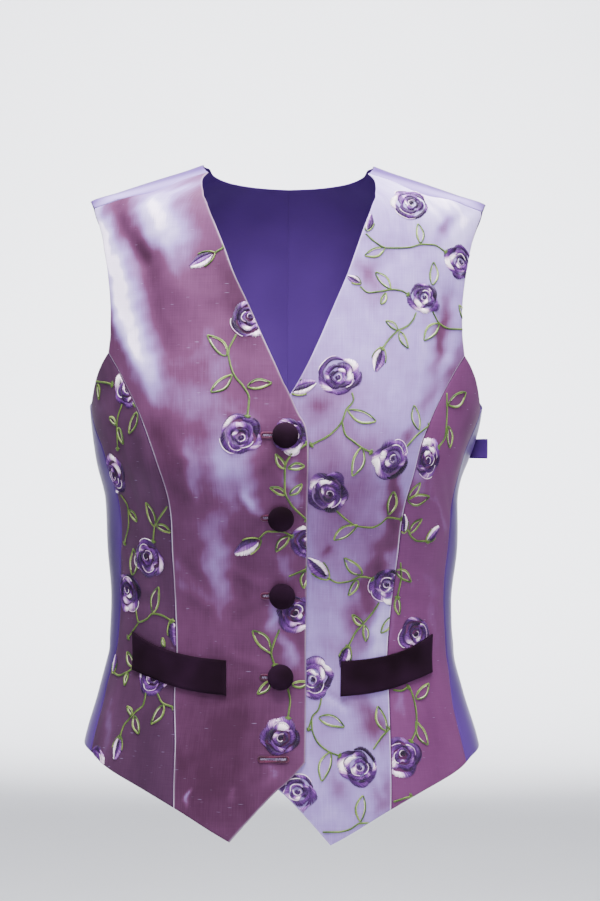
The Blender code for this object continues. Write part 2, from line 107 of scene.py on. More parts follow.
# Largest folds: each is a soft trough (depth below 0) or ridge along a line from one place to another
Fold = namedtuple("Fold", "turn_a height_a turn_b height_b width depth")
FOLDS = table(Fold,
    (-55.5, -30, -42.4, -74, 11, -2.2),  # right chest, from the shoulder
    (-42.4, -74, -35.5, -150, 13, -2.2),
    (-59.5, -66, -52.5, -130, 8, 1.3),  # beside the right armhole
    (-52.5, -130, -42, -176, 9, 1.3),
    (-36, -36, -29, -100, 13, 1.3),  # between that trough and the neckline
    (-24, -250, -26, -350, 12, 1),
    (49.5, -104, 47, -148, 10, -1.3),  # left chest
    (31, -64, 24, -84, 9, -1.1), (31.5, -238, 28.5, -284, 10, -1.3), (27.5, -345, 25.5, -402, 10, -1.1),
    (78, -246, 92, -268, 34, -7),  # the left arm presses the side in
    (112, -344, 148, -362, 9, -2),  # back waist, wearer's left
    (106, -388, 138, -379, 9, -1.7), (-108, -350, -150, -357, 10, -2), (-104, -382, -134, -392, 8, -1.6),
    (128, -96, 146, -196, 18, -1.8),  # beside each shoulder blade
    (-130, -104, -148, -186, 16, -1.6),
)

# Edge curves as (turn, height). Turns count away from centre front on either side but where named.
FrontEdge = namedtuple("FrontEdge", "height over under")  # turns of the right and the left front's edge
FRONT_EDGE = table(FrontEdge,
    (-496.5, 5, -6.6), (-428, 5.7, -7.4), (-361, 5.9, -7.6), (-293, 5.6, -7), (-234.5, 5.3, -6.3),
    (-214, 4.4, -4.6), (-204.6, 2.8, -2.2), (-185, 0.4, 1.2), (-163, -2.1, 4.6), (-139, -5.3, 7.9),
    (-109.5, -9.4, 11.8), (-85, -13.1, 15.1), (-62, -16.1, 17.9), (-34, -20.5, 21.7), (-27, -21.9, 23.1),
    (-20, -23.7, 24.9), (-15, -25.7, 26.8), (-10, -29.3, 30.3), (-6, -32.4, 33.2), (-2, -35.9, 36.5),
    (2, -39.6, 39.9), (6, -43, 43),
)
TIP_TURN_OVER = -12.0  # the hem's two points
TIP_TURN_UNDER = 11.0

Place = namedtuple("Place", "turn height")
HEM = table(Place,
    (0, -583), (11.5, -564.5), (28, -537), (42, -520), (60, -505), (70, -497), (88, -492.5), (120, -494),
    (180, -497),
)
Seam = namedtuple("Seam", "height right left")  # turns of the same seam on either side
PRINCESS_HEM_TURN = 28.3
PRINCESS = table(Seam,  # above its hem end
    (-486, 29.8, 29.8), (-440, 33.5, 32.3), (-394, 35.2, 34.1), (-355, 36.2, 36), (-320, 36.1, 36.8),
    (-298, 36, 37.3), (-264, 37.4, 39.2), (-232, 40.3, 40.5), (-205, 44.3, 44.3), (-184, 49, 49),
    (-166, 54, 54), (-152.5, 58.7, 58.7),
)
SIDE_HEM_TURN = {-1: 70.2, 1: 63.6}
SIDE_SEAM = table(Seam,  # above its hem end
    (-478, 70.4, 63.2), (-458, 71, 64), (-437, 72, 66.6), (-418, 71, 69.6), (-400, 69.2, 69.8),
    (-362, 67.9, 68.4), (-330, 65, 66.3), (-300, 62.8, 66.4), (-270, 64.6, 67.6), (-236, 68.4, 71.2),
    (-217, 75, 75.8), (-200, 80.5, 80.5),
)
UNDERARM = table(Place,  # from the princess seam to the side seam
    (58.7, -152.5), (63.5, -161.5), (69, -173), (75, -188), (80.5, -200),
)
FRONT_ARMHOLE = table(Place,  # from the princess seam up to the shoulder
    (58.7, -152.5), (56.4, -133), (55.6, -110), (56.6, -84), (59.5, -60), (63.5, -41.5), (69.5, -25.8),
)
BACK_ARMHOLE = table(Place,  # from the side seam round the back up to the shoulder
    (80.5, -200), (92, -197), (103, -187), (113, -169), (119.5, -142), (121.5, -112), (120.5, -82),
    (117, -54), (111.5, -34), (102, -21.5), (91, -18), (80, -19.5), (69.5, -25.8),
)
SHOULDER_SEAM = table(Place,  # from the neck out to the armhole
    (43, 6), (47.2, -1), (46.5, -7.5), (47.2, -13.6), (53, -16), (57.5, -18.8), (62, -22.3),
    (69.5, -25.8),
)
BACK_NECK = table(Place,  # from centre back to the shoulder seam
    (180, 0), (170, 0.8), (155, 3.5), (135, 9), (112, 14.8), (85, 15.5), (60, 11.5), (43, 6),
)
BACK_BLADE = Place(180.0, -170.0)  # on the centre back seam, where the rows fan out to the armhole

# Pocket welts: curved bands across each princess seam
Welt = namedtuple("Welt", "turn_top height_top turn_low height_low")
WELT = table(Welt,
    (16.5, -412.5, 15.5, -441.8), (24, -411, 23, -440.2), (33, -408, 33, -436.2),
    (43, -402.5, 43.5, -429.7), (56.8, -391.4, 54.4, -424),
)
WELT_GAP = 0.6 * MM
WELT_THICKNESS = 2.4 * MM

# Covered buttons
BUTTON_RADIUS = 11.0 * MM
BUTTON_SHANK_RADIUS = 3.0 * MM
BUTTON_SHANK_HEIGHT = 1.2 * MM
BUTTON_DOME_HEIGHT = 5.2 * MM
BUTTON_BEVEL = 1.0 * MM
BUTTON_GAP = 0.5 * MM
BUTTONS = table(Place,
    (0, -222.6), (-0.8, -291.6), (-0.4, -357.6), (-0.6, -426.2),
)

# Short tab behind the wearer's left underarm, lying on the back and then standing out
TAB_HEIGHT = -232.0
TAB_WIDTH = 17.0 * MM
TAB_THICKNESS = 1.8 * MM
TAB_GAP = 0.9 * MM
TAB_TURN_START = 116.0
TAB_TURN_LEAVES = 103.0
TAB_TIP = (178.0, 12.0)  # where its free end reaches, across and back
TAB_BEND = 0.35  # how far along it the bend is

# Finer creases that the solids leave out, in the same terms as the folds
CREASES = table(Fold,
    # right front: soft vertical waves, and drags at the buttonholes
    (-19, -110, -18.5, -215, 11, 0.7), (-14, -120, -13.5, -205, 8, -0.5), (-19, -262, -20, -400, 9, 0.8),
    (-13.5, -270, -14.5, -330, 7, -0.7), (-11.5, -274, -6.5, -290, 3.6, 0.8),
    (-6, -214, -14, -204, 4, 0.5), (-5.5, -230, -13, -244, 4.5, -0.5), (-5.5, -299, -12, -312, 4, -0.5),
    (-5.5, -350, -12.5, -340, 4.5, 0.5), (-5.5, -367, -13, -380, 4.5, -0.6),
    (-5, -418, -14, -410, 4.5, 0.5), (-5.5, -434, -15, -446, 5, -0.5), (2.5, -228, 4, -262, 3.5, -0.6),
    (2.2, -372, 3.6, -402, 3.5, -0.5), (-29, -242, -27.5, -272, 6, 0.6), (-33, -330, -24, -352, 6, -0.6),
    (-34.5, -352, -22, -368, 5, 0.5), (-12, -500, -15, -545, 7, -0.5), (-4.5, -470, -7, -540, 7, 0.5),
    # right side panel
    (-44, -226, -41, -300, 7, 0.6), (-57, -226, -52, -290, 7, -0.6), (-62, -316, -44, -340, 5.5, -0.6),
    (-63, -345, -42, -360, 5, 0.5), (-66, -372, -48, -366, 5, -0.5), (-60, -420, -66, -480, 8, 0.6),
    # left front
    (20, -58, 21.5, -98, 4.5, -0.7), (43, -22, 46, -32, 4, -0.6), (59, -26, 46.5, -47, 5.5, -0.8),
    (45, -120, 49.5, -152, 5, -0.7), (27, -150, 33, -186, 7, -0.4), (33, -250, 31.5, -318, 6, -0.7),
    (28, -262, 26.5, -310, 5, 0.6), (23, -352, 29, -398, 5.5, -0.7), (34, -330, 31, -392, 5, 0.5),
    (16.5, -449, 12.5, -441, 3, -0.8), (10, -200, 17, -228, 6, -0.4), (24.5, -455, 25.5, -520, 7, -0.5),
    (12, -350, 13.5, -410, 8, 0.5),
    # left side panel
    (46.5, -256, 61, -303, 4.5, 0.7), (52, -244, 66, -284, 5.5, -0.6), (44, -330, 62, -348, 5, -0.6),
    (43, -352, 63, -362, 5, 0.5), (50, -400, 57, -480, 8, -0.5),
    # backs: short drags from the waist seam and the armholes
    (96, -330, 130, -342, 6, 0.7), (90, -366, 126, -362, 6, -0.8), (150, -352, 176, -366, 6, 0.6),
    (88, -404, 120, -418, 8, 0.7), (142, -396, 170, -386, 7, -0.7), (106, -190, 122, -236, 9, -0.8),
    (164, -30, 156, -112, 10, -0.6), (176, -200, 172, -300, 8, -0.5), (-92, -334, -128, -338, 6, 0.7),
    (-96, -372, -122, -366, 6, -0.7), (-152, -340, -177, -352, 7, 0.6), (-86, -410, -118, -402, 8, -0.7),
    (-144, -384, -172, -398, 7, 0.7), (-106, -196, -124, -232, 9, 0.7),
    (-162, -36, -158, -120, 11, -0.7), (-174, -420, -160, -470, 10, -0.6),
    (150, -430, 158, -480, 10, -0.6),
)

# How the shot silk is painted with light and shade. Plum and lavender are its two threads' colours, and how
# much of each shows is painted: the first value runs from deep plum in painted shade (0) through lavender
# (0.8) to a nearly white painted highlight (1.25), the second from the left side panel's painted lit magenta
# (-1) to the right side panel's painted shade in slate (1). Each band adds its share of painted light (over
# 0) or shade (under 0) along a line from one place to another.
Band = namedtuple("Band", "turn_a height_a turn_b height_b width share")
Tone = namedtuple("Tone", "catch cool bands")
TONES = {
    "front_right": Tone(0.26, 0.0, table(Band,
        (-68.8, -21, -54, -77, 12, 0.98), (-53.5, -75, -46.5, -134, 15, 1),
        (-46.2, -134, -40, -170, 14, 0.66), (-40, -170, -36.2, -195, 13, 0.36),
        (-44.5, -15, -33, -50, 18, 0.95), (-34.2, -50, -29.2, -71, 13, 0.28),
        (-16, -66, -8, -143, 15, -0.24), (-36, -12, -33.2, -8, 9, 0.22),
        (-49.8, -32, -42.5, -74, 12, -0.12), (-22, -147, -14.8, -170, 14, 0.14),
        (-29.2, -190, -17.5, -198, 16, 0.22), (-15, -76, -10.8, -109, 7, -0.14),
        (-8.2, -147, -5.2, -172, 8, 0.05), (-39.5, -198, -34.5, -236, 13, -0.18),
        (-33.8, -240, -33, -294, 14, -0.1), (-26.5, -227, -25.5, -270, 6, 0.25),
        (-16, -220, -14.8, -270, 13, 0.45), (-10.2, -227, -9.2, -265, 7, 0.16),
        (-10.5, -265, -7, -290, 4.5, 0.38), (-4, -226, -2.8, -261, 6, -0.18),
        (-24.5, -277, -29.8, -379, 15, 0.02), (-20.2, -298, -19.2, -367, 10, 0.33),
        (-11.8, -315, -12.5, -382, 17, -0.12), (-3.5, -359, -1.8, -385, 4.5, 0.4),
        (1.5, -250, 2, -281, 4, 0.3), (-0.8, -324, 0.2, -346, 4, 0.2), (0, -395, 1.8, -416, 5, 0.36),
        (-14.8, -412, -10.5, -478, 22, -0.2), (-24.5, -463, -13.2, -553, 40, -0.26),
        (-3, -496, -2, -509, 4, 0.25), (-23.5, -523, -23.8, -532, 1.7, 0.6),
        (-11.8, -520, -12.5, -533, 2.5, 0.22),
    )),
    "side_front_right": Tone(0.15, 0.38, table(Band,
        (-70.8, -195, -52.8, -212, 9, 0.26), (-63.8, -203, -42, -227, 7, -0.1),
        (-38.8, -252, -36, -303, 7, -0.14), (-49, -253, -48, -304, 9, 0.08),
        (-49.8, -347, -40, -397, 14, 0.1), (-62, -339, -63.2, -400, 6, 0.12),
        (-65.5, -443, -58, -495, 8, 0.3), (-42.5, -448, -36.2, -531, 20, -0.16),
    )),
    "front_left": Tone(0.735, 0.0, table(Band,
        (37.2, -12, 61.5, -29, 22, 0.42), (44.8, -56, 56.8, -49, 14, 0.2), (52, -32, 44, -55, 7, -0.4),
        (20.2, -75, 22, -101, 8, -0.4), (31.8, -24, 33.5, -31, 4, -0.22),
        (48.2, -109, 44.5, -162, 7, -0.48), (58.8, -144, 48.8, -184, 9, -0.38),
        (44.8, -174, 40.5, -202, 8, -0.24), (5.8, -197, 11.2, -193, 13, -0.2),
        (36.2, -213, 34.8, -232, 5, -0.36), (32, -254, 33, -280, 7, -0.38),
        (34.8, -276, 34.8, -314, 10, -0.42), (32, -305, 29.5, -344, 15, -0.37),
        (11.2, -314, 12, -320, 4, -0.28), (27.2, -340, 20.2, -407, 15, -0.38),
        (33, -327, 31.8, -408, 6, 0.16), (57, -179, 46.8, -218, 9, -0.22),
        (30, -361, 29.5, -407, 5, 0.3), (22.2, -445, 26.8, -477, 12, -0.42),
        (11.8, -504, 13.2, -523, 5.5, -0.24), (24.2, -520, 25.5, -538, 6, -0.3),
        (28.8, -503, 27.8, -528, 5, -0.25), (13.5, -213, 19, -327, 40, -0.32),
    )),
    "side_front_left": Tone(0.26, -0.5, table(Band,
        (37.5, -227, 44.5, -271, 6, 0.4), (46, -257, 62.8, -302, 2.6, 0.2),
        (55, -187, 84.8, -248, 13, -0.24), (50, -447, 45.8, -505, 18, -0.24),
        (35.2, -441, 36.8, -458, 4, 0.32), (32, -508, 46.5, -522, 14, -0.05),
        (54.8, -345, 61.2, -393, 12, 0.1), (35.5, -310, 36, -404, 3, 0.12),
    )),
}
BRIGHTEST = 1.25
# The edges of the bands of painted light and shade waver as watered silk does: each wave moves them so many
# millimetres, and turns so many radians for each millimetre round the body and up it
Wave = namedtuple("Wave", "size turned risen start")
WAVES_ACROSS = table(Wave, (1.9, 0.07, 0.19, 0), (0.9, -0.21, 0.43, 1))
WAVES_UP = table(Wave, (3.2, 0.16, -0.09, 0), (1.6, 0.41, 0.15, 2))
# Painted light on the satin backs: each band paints it lighter, as a highlight, or darker, as shade.
SATIN_PAINTED_LIGHT = table(Band,  # where the satin shines (over 0) or lies in shade (under 0)
    (43, 4, 60, -16, 13, 0.36), (58, -14, 72, -25, 11, 0.4), (-43, 4, -60, -16, 13, 0.36),
    (-58, -14, -72, -25, 11, 0.4), (76, -225, 76, -440, 24, -0.35), (-76, -225, -76, -440, 26, -0.66),
    (122, -60, 136, -170, 34, 0.07), (-124, -66, -138, -160, 32, 0.07), (104, -344, 148, -362, 9, -0.3),
    (100, -392, 146, -402, 14, 0.06), (-106, -350, -150, -357, 9, -0.3),
    (-98, -396, -142, -404, 14, 0.06), (180, -60, 180, -520, 12, -0.14),
    (-180, -60, -180, -520, 12, -0.14), (138, -430, 146, -520, 30, 0.06),
    (-136, -430, -144, -520, 30, 0.06),
)
# Painted light on the folds: where a fold turns towards this side its silk is painted lavender, and plum
# where it turns away, by so much.
PAINTED_LIGHT_SIDE = np.array((0.45, -0.35, 0.82))  # the side that a fold's silk turns lavender on
PAINTED_FOLD_LIGHT = 0.7

# Embroidery. Rose: where its middle lies, its width (mm) and the bearing that its pale petals are on.
Rose = namedtuple("Rose", "turn height width pale_side")
Sprig = namedtuple("Sprig", "turn height tip_turn tip_height")
Motifs = namedtuple("Motifs", "roses buds leaves stems")
MOTIFS = {  # panel: roses, buds, leaves, and stems as curves through places
    "front_right": Motifs(
        table(Rose, (-8.5, -125, 32, -80), (-11, -222, 35, 120), (1, -223, 30, -90), (6, -311, 30, 90),
            (3, -373, 33, -70), (-0.5, -475, 33, 110)),
        table(Sprig, (-19, -69, -25.5, -80), (-6.5, -311, -14, -322)),
        table(Sprig, (-14.5, -156, -20, -139), (-13, -172, -19, -187), (-9, -182, -3, -179),
            (0, -250, -2, -238), (0.5, -250, 4.5, -248), (0, -272, -3.5, -266), (1, -272, 4, -263),
            (1, -307, -2, -320), (5.5, -336, 5, -351), (-3, -406, -8.5, -387), (-3, -429, -6.5, -440),
            (2, -432, 6.5, -430)),
        (((-12, -138), (-14, -153), (-13.5, -163), (-12.5, -172), (-10, -182), (-8.5, -192), (-9, -207)),
         ((-18.5, -68), (-16, -63)),
         ((2, -234), (0, -249), (0, -260), (0, -269), (1, -278), (5.5, -293)), ((2.5, -235), (5, -229)),
         ((-6.5, -309), (-4, -303), (-1, -303), (3, -309)), ((1, -341), (6, -334)),
         ((-1, -386), (-2.5, -399), (-3, -406), (-2, -416)), ((1, -435), (1.5, -445), (1, -460)))),
    "side_front_right": Motifs(
        table(Rose, (-49, -183, 33, 135), (-62, -257, 33, 60), (-47, -328, 32, -30),
            (-61, -358, 33, -90), (-43.5, -428, 33, 150), (-65, -504, 28, 0)),
        table(Sprig, (-37, -381, -35, -402), (-52.5, -481, -53, -500), (-68, -428, -69, -413)),
        table(Sprig, (-45, -204, -49.5, -222), (-56, -215, -60, -208), (-55, -217, -53, -231),
            (-67.5, -179, -67.5, -193), (-56.5, -287, -52, -297), (-43, -300, -46.5, -280),
            (-42, -299, -36, -305), (-57, -343, -55, -320), (-46, -374, -43, -352),
            (-54, -422, -60, -409), (-57, -427, -57, -438), (-36.5, -452, -40, -468),
            (-49, -462, -53, -455), (-48, -462, -44, -477), (-40, -403, -41, -395)),
        (((-69.5, -177), (-62.5, -178), (-57, -180)), ((-47.5, -193), (-44, -204)),
         ((-52, -197), (-55, -210), (-56, -219), (-57, -235)),
         ((-61, -274), (-57, -285), (-57, -298), (-61, -316)),
         ((-37, -283), (-40.5, -293), (-43, -301), (-44, -313)),
         ((-56, -371), (-53.5, -383), (-49, -380), (-46, -375), (-42, -376), (-37, -381)),
         ((-54, -384), (-56.5, -390), (-60, -397)),
         ((-68, -428), (-62.5, -430), (-58, -427), (-54, -422)),
         ((-45, -442), (-45, -452), (-48, -459), (-50, -465), (-52, -472), (-52.5, -482)),
         ((-40, -442), (-37, -450), (-32.5, -453)))),
    "front_left": Motifs(
        table(Rose, (36, -22, 33, 150), (53, -72, 31, 180), (38.5, -105, 29, -110), (13, -172, 35, 30),
            (30, -242, 34, 180), (11, -270, 35, 135), (33, -349, 31, -100), (8, -426, 34, 40),
            (19, -500, 34, 165), (3, -522, 33, -120)),
        table(Sprig, (18.5, -93, 15, -87), (25, -149, 23, -168), (1, -185, 7, -178), (12, -342, 6, -326),
            (19, -401, 16.5, -419), (21, -47, 22.5, -33)),
        table(Sprig, (26, -62, 20, -69), (37.5, -57, 37, -40), (27.5, -98, 23, -83),
            (26, -101, 24.5, -111), (41.5, -93, 42, -73), (45, -126, 39, -141), (56.5, -122, 53.5, -109),
            (30, -133, 26, -125), (30.5, -134, 33.5, -148), (15.5, -201, 24, -210), (20, -232, 18, -256),
            (39, -217, 36.5, -196), (21, -297, 13.5, -310), (32, -289, 33, -269), (23.5, -339, 17, -325),
            (22, -344, 19, -357), (24.5, -382, 20.5, -373), (25, -382, 25.5, -396),
            (35.5, -375, 31, -389), (9, -459, 16, -467), (11.5, -488, 9, -512), (29, -471, 27.5, -450),
            (19, -546, 20, -524)),
        (((20.5, -50), (23, -57), (26.5, -62), (33.5, -61), (38, -58), (42, -58), (47, -64)),
         ((18.5, -96), (21, -101), (24, -100), (28, -98), (31, -99), (33, -102)),
         ((36, -117), (35, -123), (33, -129), (30, -133), (27, -141), (25, -149)),
         ((42, -116), (45, -125), (50.5, -130), (57, -130)),
         ((16.5, -186), (17, -192), (15, -201), (14, -210), (11, -221), (6, -230)),
         ((14, -211), (15, -221), (18, -228), (20, -232), (23, -236)),
         ((35, -231), (38, -222), (40, -218), (43, -213)),
         ((14, -285), (17.5, -293), (21, -298), (25.5, -299), (29, -296), (32, -291), (37, -292)),
         ((12, -342), (15.5, -346), (19, -345), (23, -341), (26, -342), (29, -345)),
         ((30.5, -363), (28, -372), (24.5, -381), (22, -387), (19, -400)),
         ((10, -443), (9, -452), (7, -460), (7, -468), (8, -478), (11, -487), (14, -491)),
         ((7, -460), (6, -469)), ((24, -486), (28, -474), (30.5, -469)),
         ((9, -554), (13, -554), (16, -552), (19, -547), (21, -547), (23, -549)))),
    "side_front_left": Motifs(
        table(Rose, (44, -240, 33, 80), (47, -392, 33, -100), (33, -493, 35, -120)),
        table(Sprig, (50, -311, 57, -299), (38.5, -303, 38, -288)),
        table(Sprig, (51, -195, 61, -184), (52, -213, 54.5, -232), (39, -275, 43, -261),
            (39, -276, 49, -273), (41, -304, 46.5, -292), (36.5, -336, 44, -346), (38, -359, 39, -374),
            (43, -445, 51.5, -433), (41, -464, 44, -484)),
        (((50, -185), (50.5, -195), (51, -212), (51, -222), (48, -232)),
         ((40, -301), (42, -307), (45.5, -311), (51, -311)), ((34, -437), (37, -438), (40.5, -435)),
         ((41, -434), (42, -444), (42, -456), (41, -467), (37, -482)),
         ((38, -329), (39, -343), (38, -359)), ((29, -530), (35, -526)))),
}
# One rose's petals, from the outer ring in. Each goes round from one bearing to another (degrees). Its rim
# stands so far out at its ends and at its middle, and it is so deep, as shares of the rose's radius. Its
# thread goes from one tone to another along it (0 darkest to 1 palest), and pales on the rose's light side.
Petal = namedtuple("Petal", "start end ends middle depth tone_start tone_end ring")
PETALS = table(Petal,
    (-38, 44, 0.84, 1.02, 0.36, 0.02, 0.42, 0), (30, 100, 0.8, 0.99, 0.34, 0.34, 0, 0),
    (88, 150, 0.86, 1.07, 0.33, 0.05, 0.42, 0), (140, 226, 0.82, 0.98, 0.35, 0, 0.36, 0),
    (216, 328, 0.84, 1.04, 0.25, 0, 0.1, 0), (-24, 74, 0.5, 0.72, 0.28, 0.38, 0, 1),
    (62, 158, 0.54, 0.7, 0.27, -0.05, 0.44, 1), (144, 256, 0.5, 0.71, 0.29, 0.3, 0.02, 1),
    (240, 344, 0.54, 0.74, 0.27, 0.02, 0.4, 1), (10, 148, 0.28, 0.44, 0.21, 0.05, 0.46, 2),
    (134, 262, 0.26, 0.43, 0.2, 0.42, 0.02, 2), (246, 384, 0.28, 0.42, 0.19, 0.02, 0.24, 2),
    (-50, 210, 0.08, 0.19, 0.18, 0, 0.05, 3),
)
HEART_SHIFT = 0.13  # how far a rose's heart lies to its dark side, as a share of its radius
# Each ring's light patches: bearing from the rose's light side, half width, strength
PATCHES = (
    ((14.0, 30.0, 0.95), (196.0, 15.0, 0.60)), ((-26.0, 30.0, 0.90), (158.0, 13.0, 0.50)),
    ((34.0, 30.0, 0.80),), ((0.0, 20.0, 0.10),),
)
RIMMED = (0.35, 0.8, 0.8, 0.0)  # what share of each ring's petals have a cord along their rim
# Painted shade: each stitch is darker at its root, as in shade under the ring above, and a little lighter
# towards its rim.
PAINTED_ROOT_SHADE_TO_RIM = (-0.10, 0.0, 0.06, -0.04)  # how a stitch's tone changes along it
DYES = (("night", 0.0), ("purple", 0.30), ("violet", 0.52), ("lilac", 0.76), ("pale", 1.0))


def smooth(places, values, wanted):
    """Values read at the wanted places from a smooth curve that keeps the table's rises and falls."""
    spans = np.diff(places)
    slopes = np.diff(values) / spans
    heading = np.zeros(len(values))
    heading[0], heading[-1] = slopes[0], slopes[-1]
    before, after = slopes[:-1], slopes[1:]
    same_way = before * after > 0
    weight_before = 2 * spans[1:] + spans[:-1]
    weight_after = spans[1:] + 2 * spans[:-1]
    safe_before, safe_after = (np.where(same_way, slope, 1.0) for slope in (before, after))
    mean = (weight_before + weight_after) / (weight_before / safe_before + weight_after / safe_after)
    heading[1:-1] = np.where(same_way, mean, 0.0)
    span = np.clip(np.searchsorted(places, wanted) - 1, 0, len(spans) - 1)
    t = (wanted - places[span]) / spans[span]
    start_heading, end_heading = heading[span] * spans[span], heading[span + 1] * spans[span]
    return ((2 * t**3 - 3 * t**2 + 1) * values[span] + (t**3 - 2 * t**2 + t) * start_heading
            + (3 * t**2 - 2 * t**3) * values[span + 1] + (t**3 - t**2) * end_heading)


def column(rows, name):
    return np.array([getattr(row, name) for row in rows])


def ease(share):
    """0 to 1 with level ends."""
    share = np.clip(share, 0.0, 1.0)
    return share * share * (3 - 2 * share)


def unit(vectors):
    """Vectors made one long."""
    return vectors / np.maximum(np.linalg.norm(vectors, axis=-1, keepdims=True), TINY)


def square_to(vectors):
    """Flat vectors turned a quarter to the left."""
    return np.stack((-vectors[..., 1], vectors[..., 0]), axis=-1)


def run_along(points):
    """How far along a line each of its points is."""
    return np.concatenate(([0], np.cumsum(np.linalg.norm(np.diff(points, axis=0), axis=1))))


def read_off(points, along, wanted):
    """A line's flat points at the wanted distances, from how far along it each of its own points is."""
    return np.stack([np.interp(wanted, along, points[:, k]) for k in (0, 1)], axis=-1)


def base(turn, height):
    """Points of the bare body form."""
    rings = column(SECTIONS, "height")
    level = np.clip(height, rings[0], rings[-1])
    half_width, front_depth, back_depth, squareness, centre = (
        smooth(rings, column(SECTIONS, name), level) for name in Section._fields[1:])
    across, ahead = np.sin(np.radians(turn)), np.cos(np.radians(turn))
    x = half_width * MM * np.sign(across) * np.abs(across) ** (2 / squareness)
    depth = np.where(ahead >= 0, front_depth, back_depth) * MM
    y = -depth * np.sign(ahead) * np.abs(ahead) ** (2 / squareness)
    z = height * MM
    off = np.hypot((np.abs(x) - BUST_APART) / BUST_SPREAD_ACROSS, (z - BUST_HEIGHT) / BUST_SPREAD_UP)
    y = y - BUST_FULLNESS * np.clip(ahead, 0, None) * np.exp(-off ** 2 / 2)
    return np.stack([x + centre * MM * across ** 4, y, z], axis=-1)


def outward(turn, height):
    """Unit normals of the bare body form, from its points a little way round and a little way up."""
    along = base(turn + NORMAL_STEP_ROUND, height) - base(turn - NORMAL_STEP_ROUND, height)
    upward = base(turn, height + NORMAL_STEP_UP) - base(turn, height - NORMAL_STEP_UP)
    return unit(np.cross(along, upward))


def wavered(turn, height):
    """Places moved a few millimetres to and fro."""
    along = turn * TURN_LENGTH / MM
    across, up = (
        sum(wave.size * np.sin(wave.turned * along + wave.risen * height + wave.start) for wave in waves)
        for waves in (WAVES_ACROSS, WAVES_UP))
    return turn + across * MM / TURN_LENGTH, height + up


def lines_near(rows, turn, height, amount, end=1.0):
    """The sum of soft bands along lines, each row's amount times how near a place is to it. A band has only
    its end share of that at its two ends."""
    total = np.zeros(np.broadcast(turn, height).shape)
    across, up = turn * TURN_LENGTH, height * MM
    for row in rows:
        start = np.array((row.turn_a * TURN_LENGTH, row.height_a * MM))
        run = np.array((row.turn_b * TURN_LENGTH, row.height_b * MM)) - start
        share = np.clip(((across - start[0]) * run[0] + (up - start[1]) * run[1]) / run.dot(run), 0, 1)
        gap = np.hypot(across - start[0] - share * run[0], up - start[1] - share * run[1])
        strength = end + (1 - end) * np.sin(np.pi * share)
        total += getattr(row, amount) * strength * np.exp(-(gap / (row.width * MM)) ** 2)
    return total


def sunk(turn, height):
    """How far the left front lies inside the body form, where the right front laps over it."""
    heights = np.concatenate(([hem(TIP_TURN_OVER)], column(FRONT_EDGE, "height")))
    turns = np.concatenate(([TIP_TURN_OVER], column(FRONT_EDGE, "over")))
    past_edge = turn - np.interp(height, heights, turns) - LAP_MARGIN
    return (WALL + LAP_GAP) * (1 - ease(past_edge / LAP_BLEND))


def place(turn, height, lift=0.0, under=False):
    """Points on the cloth's outer face, or a lift off it; the front under the lap lies deeper."""
    depth = lines_near(FOLDS + CREASES, turn, height, "depth") * MM + lift
    if under:
        depth = depth - sunk(turn, height)
    return base(turn, height) + outward(turn, height) * depth[..., None]


def hem(turn):
    return float(smooth(column(HEM, "turn"), column(HEM, "height"), np.array(abs(turn))))


def follow(places, steps):
    """Evenly spaced (turn, height) points along a smooth curve through the places, ends included."""
    rows = np.array(places, dtype=float)
    along = run_along(rows * (TURN_LENGTH, MM))
    fine = np.linspace(0, along[-1], FINE_STEPS)
    curve = np.stack([smooth(along, rows[:, k], fine) for k in (0, 1)], axis=1)
    measured = run_along(curve * (TURN_LENGTH, MM))
    return read_off(curve, measured, np.linspace(0, measured[-1], steps + 1))


def chain(*curves):
    """Curves end to end, each starting where the last one stopped."""
    return np.concatenate([curves[0]] + [curve[1:] for curve in curves[1:]])


def on_side(curve, side):
    """A curve measured away from centre front, put on the left (+1) or the right (-1)."""
    return np.array(curve, dtype=float) * (side, 1)


def hem_between(start_turn, end_turn, steps):
    return np.array([(turn, hem(turn)) for turn in np.linspace(start_turn, end_turn, steps + 1)])


def crowded(steps):
    """Shares from 0 to 1, with close ones beside both ends, where an edge rolls in."""
    close = np.array(CLOSE_LINES) / steps
    return np.sort(np.concatenate((np.linspace(0, 1, steps + 1), close, 1 - close)))


def at_shares(curve, shares):
    return read_off(curve, np.arange(len(curve)), shares * (len(curve) - 1))


def fill_between(inner, outer, bottom, top):
    """A grid of (turn, height) between four edge curves that share their corners."""
    up_shares, across_shares = crowded(len(inner) - 1), crowded(len(bottom) - 1)
    inner, outer = (at_shares(curve, up_shares) for curve in (inner, outer))
    bottom, top = (at_shares(curve, across_shares) for curve in (bottom, top))
    up, across = up_shares[:, None, None], across_shares[None, :, None]
    between_sides = (1 - across) * inner[:, None] + across * outer[:, None]
    between_ends = (1 - up) * bottom[None] + up * top[None]
    corners = ((1 - up) * ((1 - across) * bottom[0] + across * bottom[-1])
               + up * ((1 - across) * top[0] + across * top[-1]))
    return between_sides + between_ends - corners


def rising_seam(rows, hem_turn, side):
    """A seam from its hem end up, on the left (+1) or the right (-1)."""
    turns = "right" if side < 0 else "left"
    upper = [Place(getattr(row, turns), row.height) for row in rows]
    return on_side(follow([Place(hem_turn, hem(hem_turn))] + upper, SEAM_ROWS), side)


def princess_seam(side):
    return rising_seam(PRINCESS, PRINCESS_HEM_TURN, side)


def side_seam(side):
    return rising_seam(SIDE_SEAM, SIDE_HEM_TURN[side], side)


